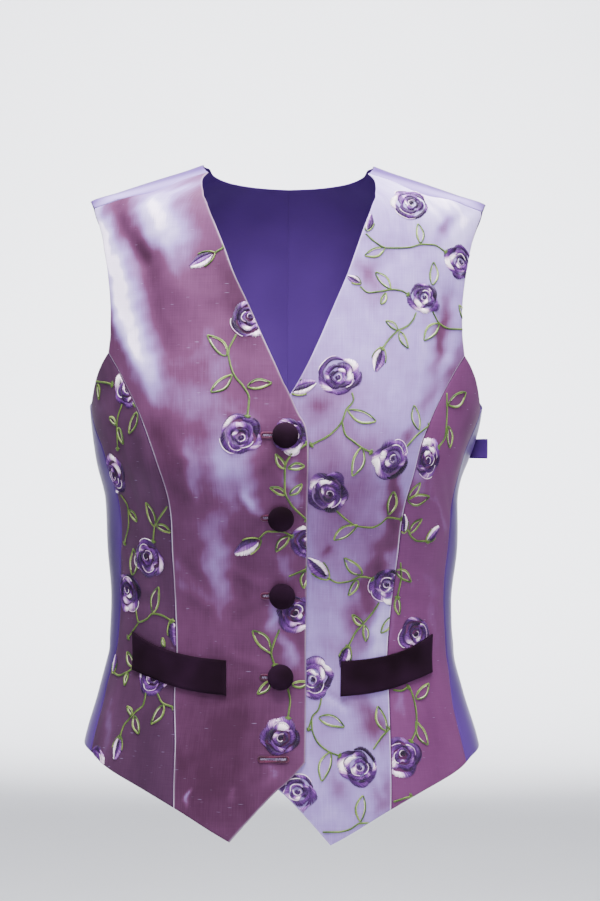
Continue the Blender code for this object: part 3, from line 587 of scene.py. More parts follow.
def front_grid(side):
    """A front from its lapped edge and neckline to the princess seam and armhole."""
    edge_column, tip_turn = ("over", TIP_TURN_OVER) if side < 0 else ("under", TIP_TURN_UNDER)
    edge = [Place(getattr(row, edge_column), row.height) for row in FRONT_EDGE]
    free_edge = chain(follow((Place(tip_turn, hem(tip_turn)), edge[0]), CUTAWAY_ROWS),
                      follow(edge, SEAM_ROWS + ARMHOLE_ROWS - CUTAWAY_ROWS))
    seam = chain(princess_seam(side), on_side(follow(FRONT_ARMHOLE, ARMHOLE_ROWS), side))
    return fill_between(free_edge, seam, hem_between(tip_turn, side * PRINCESS_HEM_TURN, FRONT_COLUMNS),
                        on_side(follow(SHOULDER_SEAM, FRONT_COLUMNS), side))


def side_front_grid(side):
    return fill_between(princess_seam(side), side_seam(side),
                        hem_between(side * PRINCESS_HEM_TURN, side * SIDE_HEM_TURN[side], SIDE_COLUMNS),
                        on_side(follow(UNDERARM, SIDE_COLUMNS), side))


def back_grid(side):
    """A back from the centre back seam and neckline to the side seam and armhole."""
    centre = chain(follow((Place(180.0, hem(180.0)), BACK_BLADE), SEAM_ROWS),
                   follow((BACK_BLADE, BACK_NECK[0]), ARMHOLE_ROWS - BACK_NECK_ROWS),
                   follow(BACK_NECK, BACK_NECK_ROWS))
    seam = chain(side_seam(side), on_side(follow(BACK_ARMHOLE, ARMHOLE_ROWS), side))
    return fill_between(on_side(centre, side), seam,
                        hem_between(side * 180.0, side * SIDE_HEM_TURN[side], FRONT_COLUMNS),
                        on_side(follow(SHOULDER_SEAM, FRONT_COLUMNS), side))


def hexed(code):
    """A linear colour from an sRGB hex code."""
    values = np.array([int(code[k:k + 2], 16) / 255 for k in (1, 3, 5)])
    return tuple(np.where(values <= 0.04045, values / 12.92, ((values + 0.055) / 1.055) ** 2.4))


def sizes():
    return bpy.context.scene.waistcoat_sizes


def colours():
    return bpy.context.scene.waistcoat_colours


def deselect_all():
    if bpy.context.object and bpy.context.object.mode != "OBJECT":
        bpy.ops.object.mode_set(mode="OBJECT")
    bpy.ops.object.select_all(action="DESELECT")


def add_mesh(name, points, faces, materials):
    """An object from points (an array) and faces (lists), shaded smooth."""
    mesh = bpy.data.meshes.new(name)
    mesh.from_pydata(points.tolist(), [], faces)
    for made in materials:
        mesh.materials.append(made)
    mesh.shade_smooth()
    made = bpy.data.objects.new(name, mesh)
    bpy.context.collection.objects.link(made)
    return made


def quads(rows, columns, first=0):
    """Faces over a grid of points that is stored row by row."""
    i, j = np.meshgrid(np.arange(rows - 1), np.arange(columns - 1), indexing="ij")
    start = (first + i * columns + j).ravel()
    return np.stack((start, start + 1, start + columns + 1, start + columns), axis=1)


def ring_round(rows, columns):
    """Row and column of each point round a grid's rim, from its first corner along the first row."""
    last_row, last_column = rows - 1, columns - 1
    return np.array([(0, j) for j in range(last_column)] + [(i, last_column) for i in range(last_row)]
                    + [(last_row, j) for j in range(last_column, 0, -1)]
                    + [(i, 0) for i in range(last_row, 0, -1)])


def shell(name, grid, form, wall, roll, gap, bulge, materials):
    """A closed thin wall over a grid of (turn, height), its edges rolled in and its rim rounded, with a map
    in metres on the cloth. Also returned: which of the grid's points each of its own belongs to."""
    turn, height = grid[..., 0], grid[..., 1]
    rows, columns = turn.shape
    surface = form(turn, height, 0.0)
    ring = ring_round(rows, columns)
    ring_at, inside_at = tuple(ring.T), tuple(np.clip(ring, 1, (rows - 2, columns - 2)).T)
    to_edge = np.min([np.linalg.norm(surface - edge, axis=-1) for edge in (
        surface[:1], surface[-1:], surface[:, :1], surface[:, -1:])], axis=0)
    dip = roll.depth * np.clip(1 - to_edge / roll.width, 0, 1) ** 2
    outer, inner = form(turn, height, -dip), form(turn, height, -wall)
    out_of_edge = unit(surface[ring_at] - surface[inside_at])
    for sheet in (outer, inner):
        sheet[ring_at] -= out_of_edge * gap
    top, low = outer[ring_at], inner[ring_at]
    between = [top + (low - top) * share + out_of_edge * bulge * np.sin(np.pi * share)
               for share in RIM_SHARES]
    points = np.concatenate([outer.reshape(-1, 3), inner.reshape(-1, 3)] + between)
    count, round_count = rows * columns, len(ring)
    ring_places = ring[:, 0] * columns + ring[:, 1]
    loops = [2 * count + round_count * k + np.arange(round_count) for k in range(len(between))]
    loops = [ring_places, *loops, count + ring_places]
    rim = [np.stack((upper, lower, np.roll(lower, -1), np.roll(upper, -1)), axis=1)
           for upper, lower in zip(loops, loops[1:])]
    outside = quads(rows, columns)
    faces = np.concatenate([outside, quads(rows, columns, count)[:, ::-1]] + rim)
    if turn[0, -1] < turn[0, 0]:
        faces = faces[:, ::-1]
    made = add_mesh(name, points, faces.tolist(), materials)
    lined = np.zeros(len(faces), dtype=np.int32)
    lined[len(outside):2 * len(outside)] = len(materials) - 1
    made.data.polygons.foreach_set("material_index", lined)
    spread = np.concatenate([np.arange(count), np.arange(count)] + [ring_places] * len(between))
    corners = np.empty(len(made.data.loops), dtype=np.int32)
    made.data.loops.foreach_get("vertex_index", corners)
    flat = grid.reshape(-1, 2)[spread] * (TURN_LENGTH, MM)
    made.data.uv_layers.new(name="cloth").data.foreach_set("uv", flat[corners].ravel())
    return made, spread


# ---- Embroidery -------------------------------------------------------------------------------------------

STATIONS = 4  # points along each stitch
ALONG = np.linspace(0, 1, STATIONS)
ARCH = np.sin(np.pi * ALONG)
HALF_WIDTHS = np.array((0.275, 0.5, 0.5, 0.275))  # at each station, as shares of the stitch's width
THICKNESSES = np.array((0.25, 0.55, 0.55, 0.25))
PRISM_SIDES = np.array(((0, 1, 4, 3), (1, 2, 5, 4), (2, 0, 3, 5)))
PRISM_ENDS = np.array(((0, 2, 1), (9, 10, 11)))
TRIM_SAMPLES = 13
SHORTEST_RUN = 4  # samples; a stitch that keeps fewer is left out
PLACE_PASSES = 2
STEM_REACH = 0.44  # how near a rose's middle a stem comes, as a share of the rose's width
KNOT = (-70.0, -40.0, -12.0, 15.0, 42.0, 70.0)  # bearings of its stitches, from the stem's own
SPOT_TURN = 1.0  # degrees and millimetres over which a spot's slope is measured
SPOT_RISE = 4.0
UNEVEN_STARTS = 0.12  # millimetres by which satin stitches start and end unevenly
UNEVEN_ENDS = 0.22
UNEVEN_TONES = 0.07
# Stem stitch, in shares of one stitch's length but where named
STEM_STEP = 0.36  # from one stitch's start to the next
STEM_BEFORE = 0.2  # how far the first stands before the line's start
STEM_PAST = 0.2  # and the last past its end
STEM_SLANT = 0.5  # how far each slants across, as a share of the rope's width
STEM_LOOK = 0.3  # millimetres either way over which the line's heading is measured
STEM_UNEVEN = 0.05  # millimetres
DYE_DRIFT = 0.45  # how far the rope turns from one dye to the other and back along its length
DYE_DRIFT_LENGTH = 3.6  # millimetres
DYE_TWIST = 0.15  # and from each stitch to the next
# Roses
PETAL_UNEVEN = 8.0  # degrees by which petals start and end unevenly
PETAL_LEAN = 16.0  # degrees by which a petal's stitches may lean from its middle
PETAL_RISE = 0.7  # powers that round its rim and its depth off towards both ends
PETAL_DEEPEN = 0.55
LOWEST_PETAL = 0.02  # millimetres off the cloth, and how much more on each ring further in
HIGHER_RING = 0.2
CORD_LIFT = 0.25
PALE_CORDS = 0.45  # what share of those cords are pale
SWIRL_TURN = 250.0  # degrees that the cord in a rose's heart winds round, from and to these radii
SWIRL_RADII = (0.27, 0.10)
# Leaves and buds, in shares of their length but where named
LEAF_POINTS = 30
LEAF_SWELL = 0.195
LEAF_BEND = 0.05
LEAF_STRAND = 0.85  # millimetres from a leaf's edge in to its pale strand, which is shorter
BUD_OFFSETS = (-0.17, 0.0, 0.16)  # a bud's three petals beside each other
BUD_TONES = (0.10, 0.45, 0.92)
BUD_HALF_WIDTH = 0.105
CUP_SPREAD = 0.29
# Stems, in millimetres
STEM_APART = 0.36  # each of the two ropes from the middle
KNOT_BACK = 1.2  # from the stem's end to the middle of its knot
KNOT_REACH = (0.2, 3.2)
# Buttonholes, in millimetres
HOLE_LENGTH = 25.5
HOLE_LIP = 2.0
HOLE_END = 1.6  # from either end to where the silver zigzag starts
ZIGZAG_STEP = 0.7
ZIGZAG_IN = 0.8  # from the lip's middle
# A spot of cloth, measured in mm on the plane that touches it: steps turns mm there into (turn, height)
Spot = namedtuple("Spot", "turn height middle axes steps under")


def spot_at(turn, height, under):
    turns = np.array((turn - SPOT_TURN, turn + SPOT_TURN, turn, turn, turn))
    heights = np.array((height, height, height - SPOT_RISE, height + SPOT_RISE, height))
    low, high, below, above, middle = place(turns, heights, under=under) / MM
    per_degree, per_height = (high - low) / (2 * SPOT_TURN), (above - below) / (2 * SPOT_RISE)
    across = unit(per_degree)
    axes = np.stack((across, unit(per_height - per_height.dot(across) * across)))
    return Spot(turn, height, middle, axes, np.linalg.inv(np.stack((per_degree, per_height)) @ axes.T), under)


def to_local(spot, turn, height):
    """Where places on the cloth lie round a spot (mm)."""
    return (place(np.asarray(turn), np.asarray(height), under=spot.under) / MM - spot.middle) @ spot.axes.T


def to_places(spot, points):
    """Millimetres round a spot, as (turn, height). Each pass takes off what the last one missed by."""
    places = (spot.turn, spot.height) + points @ spot.steps
    for _ in range(PLACE_PASSES):
        places = places + (points - to_local(spot, places[..., 0], places[..., 1])) @ spot.steps
    return places


def within(places, outline):
    """Whether each place lies within a closed outline of places."""
    inside = np.all((places > outline.min(axis=0)) & (places < outline.max(axis=0)), axis=1)
    x, y = places[inside].T[..., None]
    x1, y1 = outline.T
    x2, y2 = np.roll(x1, -1), np.roll(y1, -1)
    rise = np.where(y2 == y1, TINY, y2 - y1)
    crosses = ((y1 > y) != (y2 > y)) & (x < (x2 - x1) * (y - y1) / rise + x1)
    inside[inside] = crosses.sum(axis=1) % 2 == 1
    return inside


class Stitching:
    """The stitches on one panel. Each is a low closed prism of thread along a few stations."""

    def __init__(self, outline, holes, under, roses=()):
        self.outline, self.holes, self.under, self.roses = outline, holes, under, roses
        self.parts = []

    def outside_roses(self, spot, line):
        """The points of a line that don't run under a rose."""
        for row in self.roses:
            off = line - to_local(spot, row.turn, row.height)
            line = line[np.linalg.norm(off, axis=1) > STEM_REACH * row.width]
        return line

    def add(self, spot, paths, width, rise, arch, colour):
        """Stitches along paths (n, stations, 2) in mm round a spot; colour (n, stations, 3)."""
        across = unit(square_to(np.gradient(paths, axis=1)))
        self.parts.append((to_places(spot, paths), across @ spot.steps,
                           *(np.full(len(paths), size) for size in (width, rise, arch)), colour))

    def trimmed(self, places):
        """Each stitch's longest run on the panel and clear of what lies on it: the shares where it starts and
        ends, and whether it is long enough to keep."""
        start, end = places[:, :1], places[:, -1:]
        bow = (places[:, 1:2] + places[:, 2:3] - start - end) * 9 / 4  # a parabola by both middle stations
        share = np.linspace(0, 1, TRIM_SAMPLES)[None, :, None]
        samples = (start + (end - start) * share + bow * share * (1 - share)).reshape(-1, 2)
        kept = within(samples, self.outline)
        for hole in self.holes:
            kept &= ~within(samples, hole)
        kept = kept.reshape(-1, TRIM_SAMPLES)
        best, first, run = np.zeros((3, len(places)))
        for k in range(TRIM_SAMPLES):
            run = np.where(kept[:, k], run + 1, 0)
            longer = run > best
            best = np.where(longer, run, best)
            first = np.where(longer, k - run + 1, first)
        return first / (TRIM_SAMPLES - 1), (first + best - 1) / (TRIM_SAMPLES - 1), best >= SHORTEST_RUN

    def build(self, name):
        """All the stitches as one object, its thread's colour stored at each point."""
        places, across, width, rise, arch, colour = (np.concatenate(part) for part in zip(*self.parts))
        first, last, long_enough = self.trimmed(places)
        shares = first[:, None] + (last - first)[:, None] * ALONG
        scaled = np.clip(shares * (STATIONS - 1), 0, STATIONS - 1)
        low = np.clip(np.floor(scaled).astype(int), 0, STATIONS - 2)
        weight = (scaled - low)[..., None]
        rows = np.arange(len(places))[:, None]
        places, across, colour = (
            (values[rows, low] * (1 - weight) + values[rows, low + 1] * weight)[long_enough]
            for values in (places, across, colour))
        width, rise, arch = (values[long_enough, None] for values in (width, rise, arch))
        half = across * (width * HALF_WIDTHS)[..., None]
        lift = rise + arch * ARCH
        sides = np.stack((places - half, places, places + half), axis=2)
        lifts = np.stack((lift, lift + width * THICKNESSES, lift), axis=2)
        points = place(sides[..., 0], sides[..., 1], lifts * MM, under=self.under).reshape(-1, 3)
        starts = (np.arange(len(places)) * STATIONS * 3)[:, None, None]
        steps = (np.arange(STATIONS - 1) * 3)[None, :, None]
        walls = ((starts + steps)[..., None] + PRISM_SIDES).reshape(-1, 4)
        ends = (starts + PRISM_ENDS).reshape(-1, 3)
        made = add_mesh(name, points, walls.tolist() + ends.tolist(), [material(embroidery_thread)])
        shade = made.data.color_attributes.new("thread", "FLOAT_COLOR", "POINT")
        threads = np.repeat(colour[:, :, None], 3, axis=2).reshape(-1, 3)
        threads = np.column_stack((threads, np.ones(len(threads))))
        shade.data.foreach_set("color", threads.astype(np.float32).ravel())
        return made


def between(starts, ends):
    """Straight stitch paths from start points to end points."""
    return starts[:, None] + (ends - starts)[:, None] * ALONG[None, :, None]


def dye(name):
    return np.array(getattr(colours(), name))


def mixed(first, second, share):
    """Thread colours between two dyes, one a stitch: share is how much of the first."""
    share = share.reshape(-1, 1, 1)
    return np.repeat(dye(first) * share + dye(second) * (1 - share), STATIONS, axis=1)


def satin(work, spot, starts, ends, tones, rise, rng):
    """A row of satin stitches in rose thread; tones (n, stations) from 0, the darkest, to 1, the palest."""
    starts = starts + rng.normal(0, UNEVEN_STARTS, starts.shape)
    ends = ends + rng.normal(0, UNEVEN_ENDS, ends.shape)
    tones = tones + rng.normal(0, UNEVEN_TONES, (len(starts), 1))
    shades, stops = np.array([dye(name) for name, _ in DYES]), [stop for _, stop in DYES]
    threads = np.stack([np.interp(tones, stops, shades[:, k]) for k in range(3)], axis=-1)
    work.add(spot, between(starts, ends), sizes().thread_width / MM, rise, 0.5, threads)


def stem_stitches(work, spot, line, width, dyes, rng, rise=0.08, arch=0.28):
    """A rope of short slanted stitches along a line of points in mm."""
    along = run_along(line)
    length = sizes().stem_stitch / MM
    count = max(3, int(along[-1] / (length * STEM_STEP)))
    starts = np.linspace(-STEM_BEFORE * length, along[-1] - (1 - STEM_PAST) * length, count)
    stations = starts[:, None] + length * ALONG[None]
    behind, here, ahead = (read_off(line, along, stations + step) for step in (-STEM_LOOK, 0.0, STEM_LOOK))
    slant = unit(square_to(ahead - behind)) * ((ALONG - 0.5) * width * STEM_SLANT)[None, :, None]
    path = here + slant + rng.normal(0, STEM_UNEVEN, (count, 1, 2))
    drift = DYE_DRIFT * np.sin(stations.mean(axis=1) / DYE_DRIFT_LENGTH + rng.uniform(0, 6.3))
    twist = DYE_TWIST * np.where(np.arange(count) % 2, 1, -1)
    mix = 0.5 + drift + twist + rng.normal(0, DYE_TWIST, count)
    work.add(spot, path, width, rise, arch, mixed(*dyes, np.clip(mix, 0, 1)))


def bearing(degrees):
    angle = np.radians(degrees)
    return np.stack((np.cos(angle), np.sin(angle)), axis=-1)


def bent_round(at, facing):
    """A rose's outline as a share of its radius: a little longer one way and uneven."""
    return 1 + 0.05 * np.cos(np.radians(2 * (at - facing))) + 0.025 * np.sin(np.radians(5 * at + 3 * facing))


def add_petal(work, spot, radius, petal, facing, pale_side, rng):
    """One petal of a rose: satin stitches from its inner to its outer edge, tapering to either end."""
    ring = int(petal.ring)
    start, end = (facing + at + rng.uniform(-PETAL_UNEVEN, PETAL_UNEVEN) for at in (petal.start, petal.end))
    length = np.radians(end - start) * petal.middle * radius
    share = np.linspace(0.01, 0.99, max(6, int(length / (sizes().thread_pitch / MM))))
    at = start + (end - start) * share
    rise = np.sin(np.pi * share ** rng.uniform(0.75, 1.3)) ** PETAL_RISE
    outer = petal.ends + (petal.middle * rng.uniform(0.96, 1.04) - petal.ends) * rise
    inner = outer - petal.depth * rng.uniform(0.88, 1.1) * np.sin(np.pi * share ** 0.9) ** PETAL_DEEPEN
    heart = -bearing(pale_side) * HEART_SHIFT * radius
    lean = rng.uniform(-PETAL_LEAN, PETAL_LEAN)

    def at_depth(bearings, depths):
        reach = depths * radius * bent_round(bearings, facing)
        return heart * (1 - depths)[:, None] + bearing(bearings) * reach[:, None]

    tones = np.interp(share, (0, 1), (petal.tone_start, petal.tone_end)) + rng.normal(0, 0.08)
    for shift, spread, strength in PATCHES[ring]:
        off = (at - pale_side - shift + 180) % 360 - 180
        tones = tones + strength * rng.uniform(0.7, 1.1) * np.exp(-(off / spread) ** 2)
    satin(work, spot, at_depth(at - lean, inner), at_depth(at + lean, outer),
          tones[:, None] + np.array(PAINTED_ROOT_SHADE_TO_RIM), LOWEST_PETAL + HIGHER_RING * ring, rng)
    if rng.random() < RIMMED[ring]:
        first, last = (rng.uniform((0.05, 0.75), (0.25, 0.95)) * len(at)).astype(int)
        cord = at_depth(at + lean, outer + 0.02)[first:last]
        dyes = ("pale", "lilac") if rng.random() < PALE_CORDS else ("night", "purple")
        stem_stitches(work, spot, cord, sizes().rim_cord / MM, dyes, rng,
                      rise=CORD_LIFT + HIGHER_RING * ring, arch=0.15)


def add_rose(work, row, under, rng):
    """A rose's petals and the swirl of cord in its heart."""
    spot = spot_at(row.turn, row.height, under)
    radius, facing = row.width / 2, rng.uniform(0, 360)
    for petal in PETALS:
        add_petal(work, spot, radius, petal, facing, row.pale_side, rng)
    swirl = np.linspace(0, 1, 40)
    heart = -bearing(row.pale_side) * HEART_SHIFT * radius
    reach = radius * np.interp(swirl, (0, 1), SWIRL_RADII)
    line = heart + bearing(facing + SWIRL_TURN * swirl) * reach[:, None]
    stem_stitches(work, spot, line, sizes().rim_cord / MM, ("lilac", "pale"), rng, rise=0.62, arch=0.2)


def axis_of(row, under):
    """A sprig's spot, its length in mm, and its forward and sideways directions."""
    spot = spot_at(row.turn, row.height, under)
    tip = to_local(spot, row.tip_turn, row.tip_height)
    length = np.linalg.norm(tip)
    return spot, length, tip / length, square_to(tip / length)


def add_leaf(work, row, under, rng):
    """An almond outline of stem stitch, one edge dark and thin, the other light and heavier, each with a pale
    strand inside it."""
    spot, length, forward, square = axis_of(row, under)
    share = np.linspace(0, 1, LEAF_POINTS)
    swell = LEAF_SWELL * length * np.sin(np.pi * share ** rng.uniform(0.75, 1.1)) ** 0.9
    bend = LEAF_BEND * length * np.sin(np.pi * share) * rng.choice((-1, 1))
    heavy = rng.choice((-1, 1))
    for side in (-1, 1):
        edge = (1.4, ("leaf_light", "leaf_mid")) if side == heavy else (1.25, ("leaf_mid", "leaf_dark"))
        strand = (0.7, ("leaf_pale", "leaf_light"))
        for inset, left_out, (width, dyes) in ((0.0, 0, edge), (LEAF_STRAND, 5, strand)):
            offset = side * np.maximum(swell - inset, 0.1) + bend
            line = forward * (share * length)[:, None] + square * offset[:, None]
            line = line[left_out:LEAF_POINTS - left_out]
            stem_stitches(work, spot, line, width, dyes, rng, rise=0.05 + 0.1 * inset)


def add_bud(work, row, under, rng):
    """Three slim petals side by side, pale, middle and dark, held in a green cup."""
    spot, length, forward, square = axis_of(row, under)
    share = np.linspace(0.04, 0.9, int(length / (sizes().thread_pitch / MM) * 1.1))
    body = np.sin(np.pi * np.clip(share * 0.92 + 0.06, 0, 1) ** 0.85)
    order = np.roll(BUD_TONES, 0 if rng.random() < 0.5 else 1)
    for offset, tone in zip(BUD_OFFSETS, order):
        middle = square * (offset * length * body)[:, None]
        half = square * (BUD_HALF_WIDTH * length * body)[:, None]
        starts = forward * (share * length)[:, None] + middle - half
        ends = forward * ((share + 0.10) * length)[:, None] + middle + half
        tones = tone + (0.25 * (share - 0.5))[:, None] + np.array((-0.2, 0.0, 0.1, 0.0))
        satin(work, spot, starts, ends, tones, 0.05 + 0.15 * (offset == 0.0), rng)
    cup = np.linspace(0, 1, 20)
    for side in (-1, 1):
        offset = side * CUP_SPREAD * length * np.sin(np.pi * 0.5 * cup ** 0.7)
        line = forward * ((0.60 * cup - 0.08) * length)[:, None] + square * offset[:, None]
        stem_stitches(work, spot, line, 1.2, ("leaf_light", "leaf_dark"), rng, rise=0.25)


def add_stem(work, row, under, rng):
    """Two ropes side by side, one darker, with a knot at the far end."""
    turns, heights = np.array(row, dtype=float).T
    spot = spot_at(turns.mean(), heights.mean(), under)
    points = to_local(spot, turns, heights)
    along = run_along(points)
    fine = np.linspace(0, along[-1], 60)
    line = read_off(points, along, fine)
    if len(row) > 2:
        line = np.stack([smooth(along, points[:, k], fine) for k in (0, 1)], axis=1)
    line = work.outside_roses(spot, line)
    heading = unit(np.gradient(line, axis=0))
    beside = square_to(heading) * STEM_APART
    stem_stitches(work, spot, line - beside, 0.95, ("leaf_mid", "leaf_dark"), rng)
    stem_stitches(work, spot, line + beside, 0.7, ("leaf_light", "leaf_mid"), rng, rise=0.14)
    fan = bearing(np.degrees(np.arctan2(*heading[-1][::-1])) + np.array(KNOT))
    near, far = (line[-1] - heading[-1] * KNOT_BACK + fan * reach for reach in KNOT_REACH)
    green = dye("leaf_mid") * rng.normal(1, 0.15, (len(fan), 1, 1))
    work.add(spot, between(near, far), 1.0, 0.25, 0.3, np.repeat(green, STATIONS, axis=1))


def add_buttonhole(work, turn, height, rng):
    """A long loop of wine cord round a slit, with a silvery zigzag inside."""
    spot = spot_at(turn, height, False)
    reach = HOLE_LENGTH / 2
    bearings = np.linspace(90, 450, 72)
    side = np.where(np.cos(np.radians(bearings)) > 0, 1, -1) * (reach - HOLE_LIP)
    loop = bearing(bearings) * HOLE_LIP + side[:, None] * (1, 0)
    across = np.arange(-reach + HOLE_END, reach - HOLE_END, ZIGZAG_STEP)
    ends = np.stack((across, np.where(np.arange(len(across)) % 2, 1, -1) * (HOLE_LIP - ZIGZAG_IN)), axis=1)
    ends += rng.normal(0, 0.18, ends.shape)
    silver = mixed("silver", "orchid", rng.random(len(ends) - 1))
    slit = np.array(((HOLE_END - reach, 0.0), (reach - HOLE_END, 0.0)))
    work.add(spot, between(ends[:-1], ends[1:]), 0.6, 0.05, 0.2, silver)
    # A dark thread along the slit is painted shade, standing in for the dark of the cut opening.
    work.add(spot, between(slit[:1], slit[1:]), 0.5, 0.30, 0.1, np.tile(dye("night"), (1, STATIONS, 1)))
    for turn_out, width in ((1.12, 1.3), (0.78, 1.0)):
        stem_stitches(work, spot, loop * (1.0, turn_out), width, ("wine", "wine_dark"), rng, 0.16, 0.35)


# ---- Materials --------------------------------------------------------------------------------------------

def opaque(colour):
    return (*colour, 1.0)


def grey(value):
    return (value, value, value)


def fill_sockets(material, node, values):
    """Give a node's sockets their values, or links from other nodes' outputs."""
    for socket, value in values.items():
        if isinstance(value, bpy.types.NodeSocket):
            material.node_tree.links.new(value, node.inputs[socket])
        else:
            node.inputs[socket].default_value = value


def add_node(material, kind, values=None, stops=(), outlet=0, **settings):
    """The output of a new node: values or links by socket, a ramp's stops as (place, colour), and settings by
    property name."""
    node = material.node_tree.nodes.new("ShaderNode" + kind)
    for name, value in settings.items():
        setattr(node, name, value)
    fill_sockets(material, node, values or {})
    for k, (at, colour) in enumerate(stops):
        elements = node.color_ramp.elements
        element = elements[k] if k < len(elements) else elements.new(1.0)
        element.position = at
        element.color = opaque(colour)
    return node.outputs[outlet]


def new_material(name, settings):
    """A material with a Principled shader whose own sockets hold the settings that are the same all over."""
    made = bpy.data.materials.new(name)
    made.use_nodes = True
    shader = made.node_tree.nodes["Principled BSDF"]
    fill_sockets(made, shader, settings)
    return made, shader


def shot_silk_dupion():
    """Silk dupion: plum threads one way and lavender the other. How far it turns to each, to near-white and
    to the side panels' colours is painted light and shade, as are its light and dark edges. A few thick
    places in the weft (slubs) show as short level streaks with a painted pale highlight."""
    hues = colours()
    made, shader = new_material("shot_silk_dupion", {
        "Sheen Weight": 0.02, "Sheen Roughness": 0.35, "Sheen Tint": opaque(hues.lavender),
        "Specular IOR Level": 0.12, "Specular Tint": opaque(hues.lavender)})
    catch, cool, rim = (add_node(made, "Attribute", attribute_name=name, outlet="Fac")
                        for name in ("catch", "cool", "rim"))
    # Grains in mm across and along: weft, warp, slubs and a mottle over them all. The weft and warp are drawn
    # twice as coarse as real threads, so that they show.
    on_cloth = add_node(made, "TexCoord", outlet="UV")
    grains = [add_node(made, "Mapping", {
        "Vector": on_cloth, "Scale": (1 / (across * MM), 1 / (along * MM), 1.0)})
        for across, along in ((22.0, 0.8), (0.8, 26.0), (7.0, 1.0), (16.0, 24.0))]
    weft, warp, slubs, mottle = (
        add_node(made, "TexNoise", {"Vector": grain, "Scale": 1.0, "Detail": detail})
        for grain, detail in zip(grains, (2.0, 2.0, 0.0, 2.0)))
    # The painted light and shade, with a random mottle and the warp's grain added, picks the silk's colour
    # from the ramp below.
    turned = catch
    for noise, reach in ((mottle, 0.22), (warp, 0.10)):
        drift = add_node(made, "Math", {0: noise, 1: reach, 2: -reach / 2}, operation="MULTIPLY_ADD")
        turned = add_node(made, "Math", {0: turned, 1: drift}, operation="ADD")
    silk = add_node(made, "ValToRGB", {"Fac": turned}, (
        (0.0, hues.plum_deep), (0.25, hues.plum), (0.42, hues.mauve), (0.58, hues.lavender),
        (0.82, hues.lavender_pale), (0.94, hues.lilac_white)))
    # Shares for the left side panel's painted lit magenta and for the painted seam shade, each its attribute
    # turned the other way.
    painted_side_light, painted_seam_shade_share = (add_node(made, "Math", {0: share, 1: -1.0}, operation="MULTIPLY")
                      for share in (cool, rim))
    threads, upright, streaks = (
        add_node(made, "ValToRGB", {"Fac": noise}, ((low, grey(dark)), (high, grey(light))))
        for noise, low, dark, high, light in (
            (weft, 0.30, 0.84, 0.70, 1.0), (warp, 0.30, 0.88, 0.70, 1.0), (slubs, 0.80, 0.0, 0.88, 0.22)))
    # Mixed in: the side panels' painted shade and painted light, the painted highlight and painted seam shade
    # along the edges, the weave's threads, and the slubs' painted highlight.
    for how, share, over in (
            ("MIX", cool, opaque(hues.slate)), ("MIX", painted_side_light, opaque(hues.magenta)),
            ("MIX", rim, opaque(hues.rim_light)), ("MIX", painted_seam_shade_share, opaque(hues.rim_dark)),
            ("MULTIPLY", 0.6, threads), ("MULTIPLY", 0.5, upright),
            ("MIX", streaks, opaque(hues.lavender_pale))):
        silk = add_node(made, "Mix", {0: share, 6: silk, 7: over}, outlet=2,
                        data_type="RGBA", blend_type=how)
    relief = add_node(made, "Math", {0: weft, 1: streaks}, operation="ADD")
    fill_sockets(made, shader, {
        "Base Color": silk,
        "Normal": add_node(made, "Bump", {"Height": relief, "Strength": 0.2, "Distance": 0.2 * MM}),
        "Roughness": add_node(made, "MapRange", {"Value": weft, "To Min": 0.42, "To Max": 0.52})})
    return made


def back_satin():
    """Polyester satin: long level floats, so it is smooth with a broad bluish-lilac shine, partly its own
    gloss and partly a painted highlight, with painted shade under the arms and in its creases.
    """
    hues = colours()
    made, shader = new_material("back_satin", {
        "Sheen Weight": 0.01, "Sheen Roughness": 0.3, "Sheen Tint": opaque(hues.satin_light),
        "Specular IOR Level": 0.14, "Specular Tint": opaque(hues.satin_light)})
    # Grains in mm across and along: the floats, drawn coarser than real ones so that they show, and the slow
    # drift of the colour.
    on_cloth = add_node(made, "TexCoord", outlet="UV")
    grains = [add_node(made, "Mapping", {
        "Vector": on_cloth, "Scale": (1 / (across * MM), 1 / (along * MM), 1.0)})
        for across, along in ((8.0, 0.6), (45.0, 60.0))]
    floats, drift = (add_node(made, "TexNoise", {"Vector": grain, "Scale": 1.0, "Detail": 2.0})
                     for grain in grains)
    cloth = add_node(made, "ValToRGB", {"Fac": drift}, ((0.25, hues.satin_dark), (0.75, hues.satin)))
    lines = add_node(made, "ValToRGB", {"Fac": floats}, ((0.30, grey(0.92)), (0.70, grey(1.0))))
    bloom = add_node(made, "Attribute", attribute_name="bloom", outlet="Fac")
    painted_satin_shade = add_node(made, "Math", {0: bloom, 1: -1.0}, operation="MULTIPLY")
    # Painted highlight where the satin shines and painted shade under the arms and in its creases, over its
    # floats.
    for how, share, over in (("MULTIPLY", 0.5, lines), ("MIX", bloom, opaque(hues.satin_light)),
                             ("MIX", painted_satin_shade, opaque(hues.satin_deep))):
        cloth = add_node(made, "Mix", {0: share, 6: cloth, 7: over}, outlet=2,
                         data_type="RGBA", blend_type=how)
    fill_sockets(made, shader, {
        "Base Color": cloth,
        "Normal": add_node(made, "Bump", {"Height": floats, "Strength": 0.08, "Distance": 0.1 * MM}),
        "Roughness": add_node(made, "MapRange", {"Value": floats, "To Min": 0.33, "To Max": 0.40})})
    return made


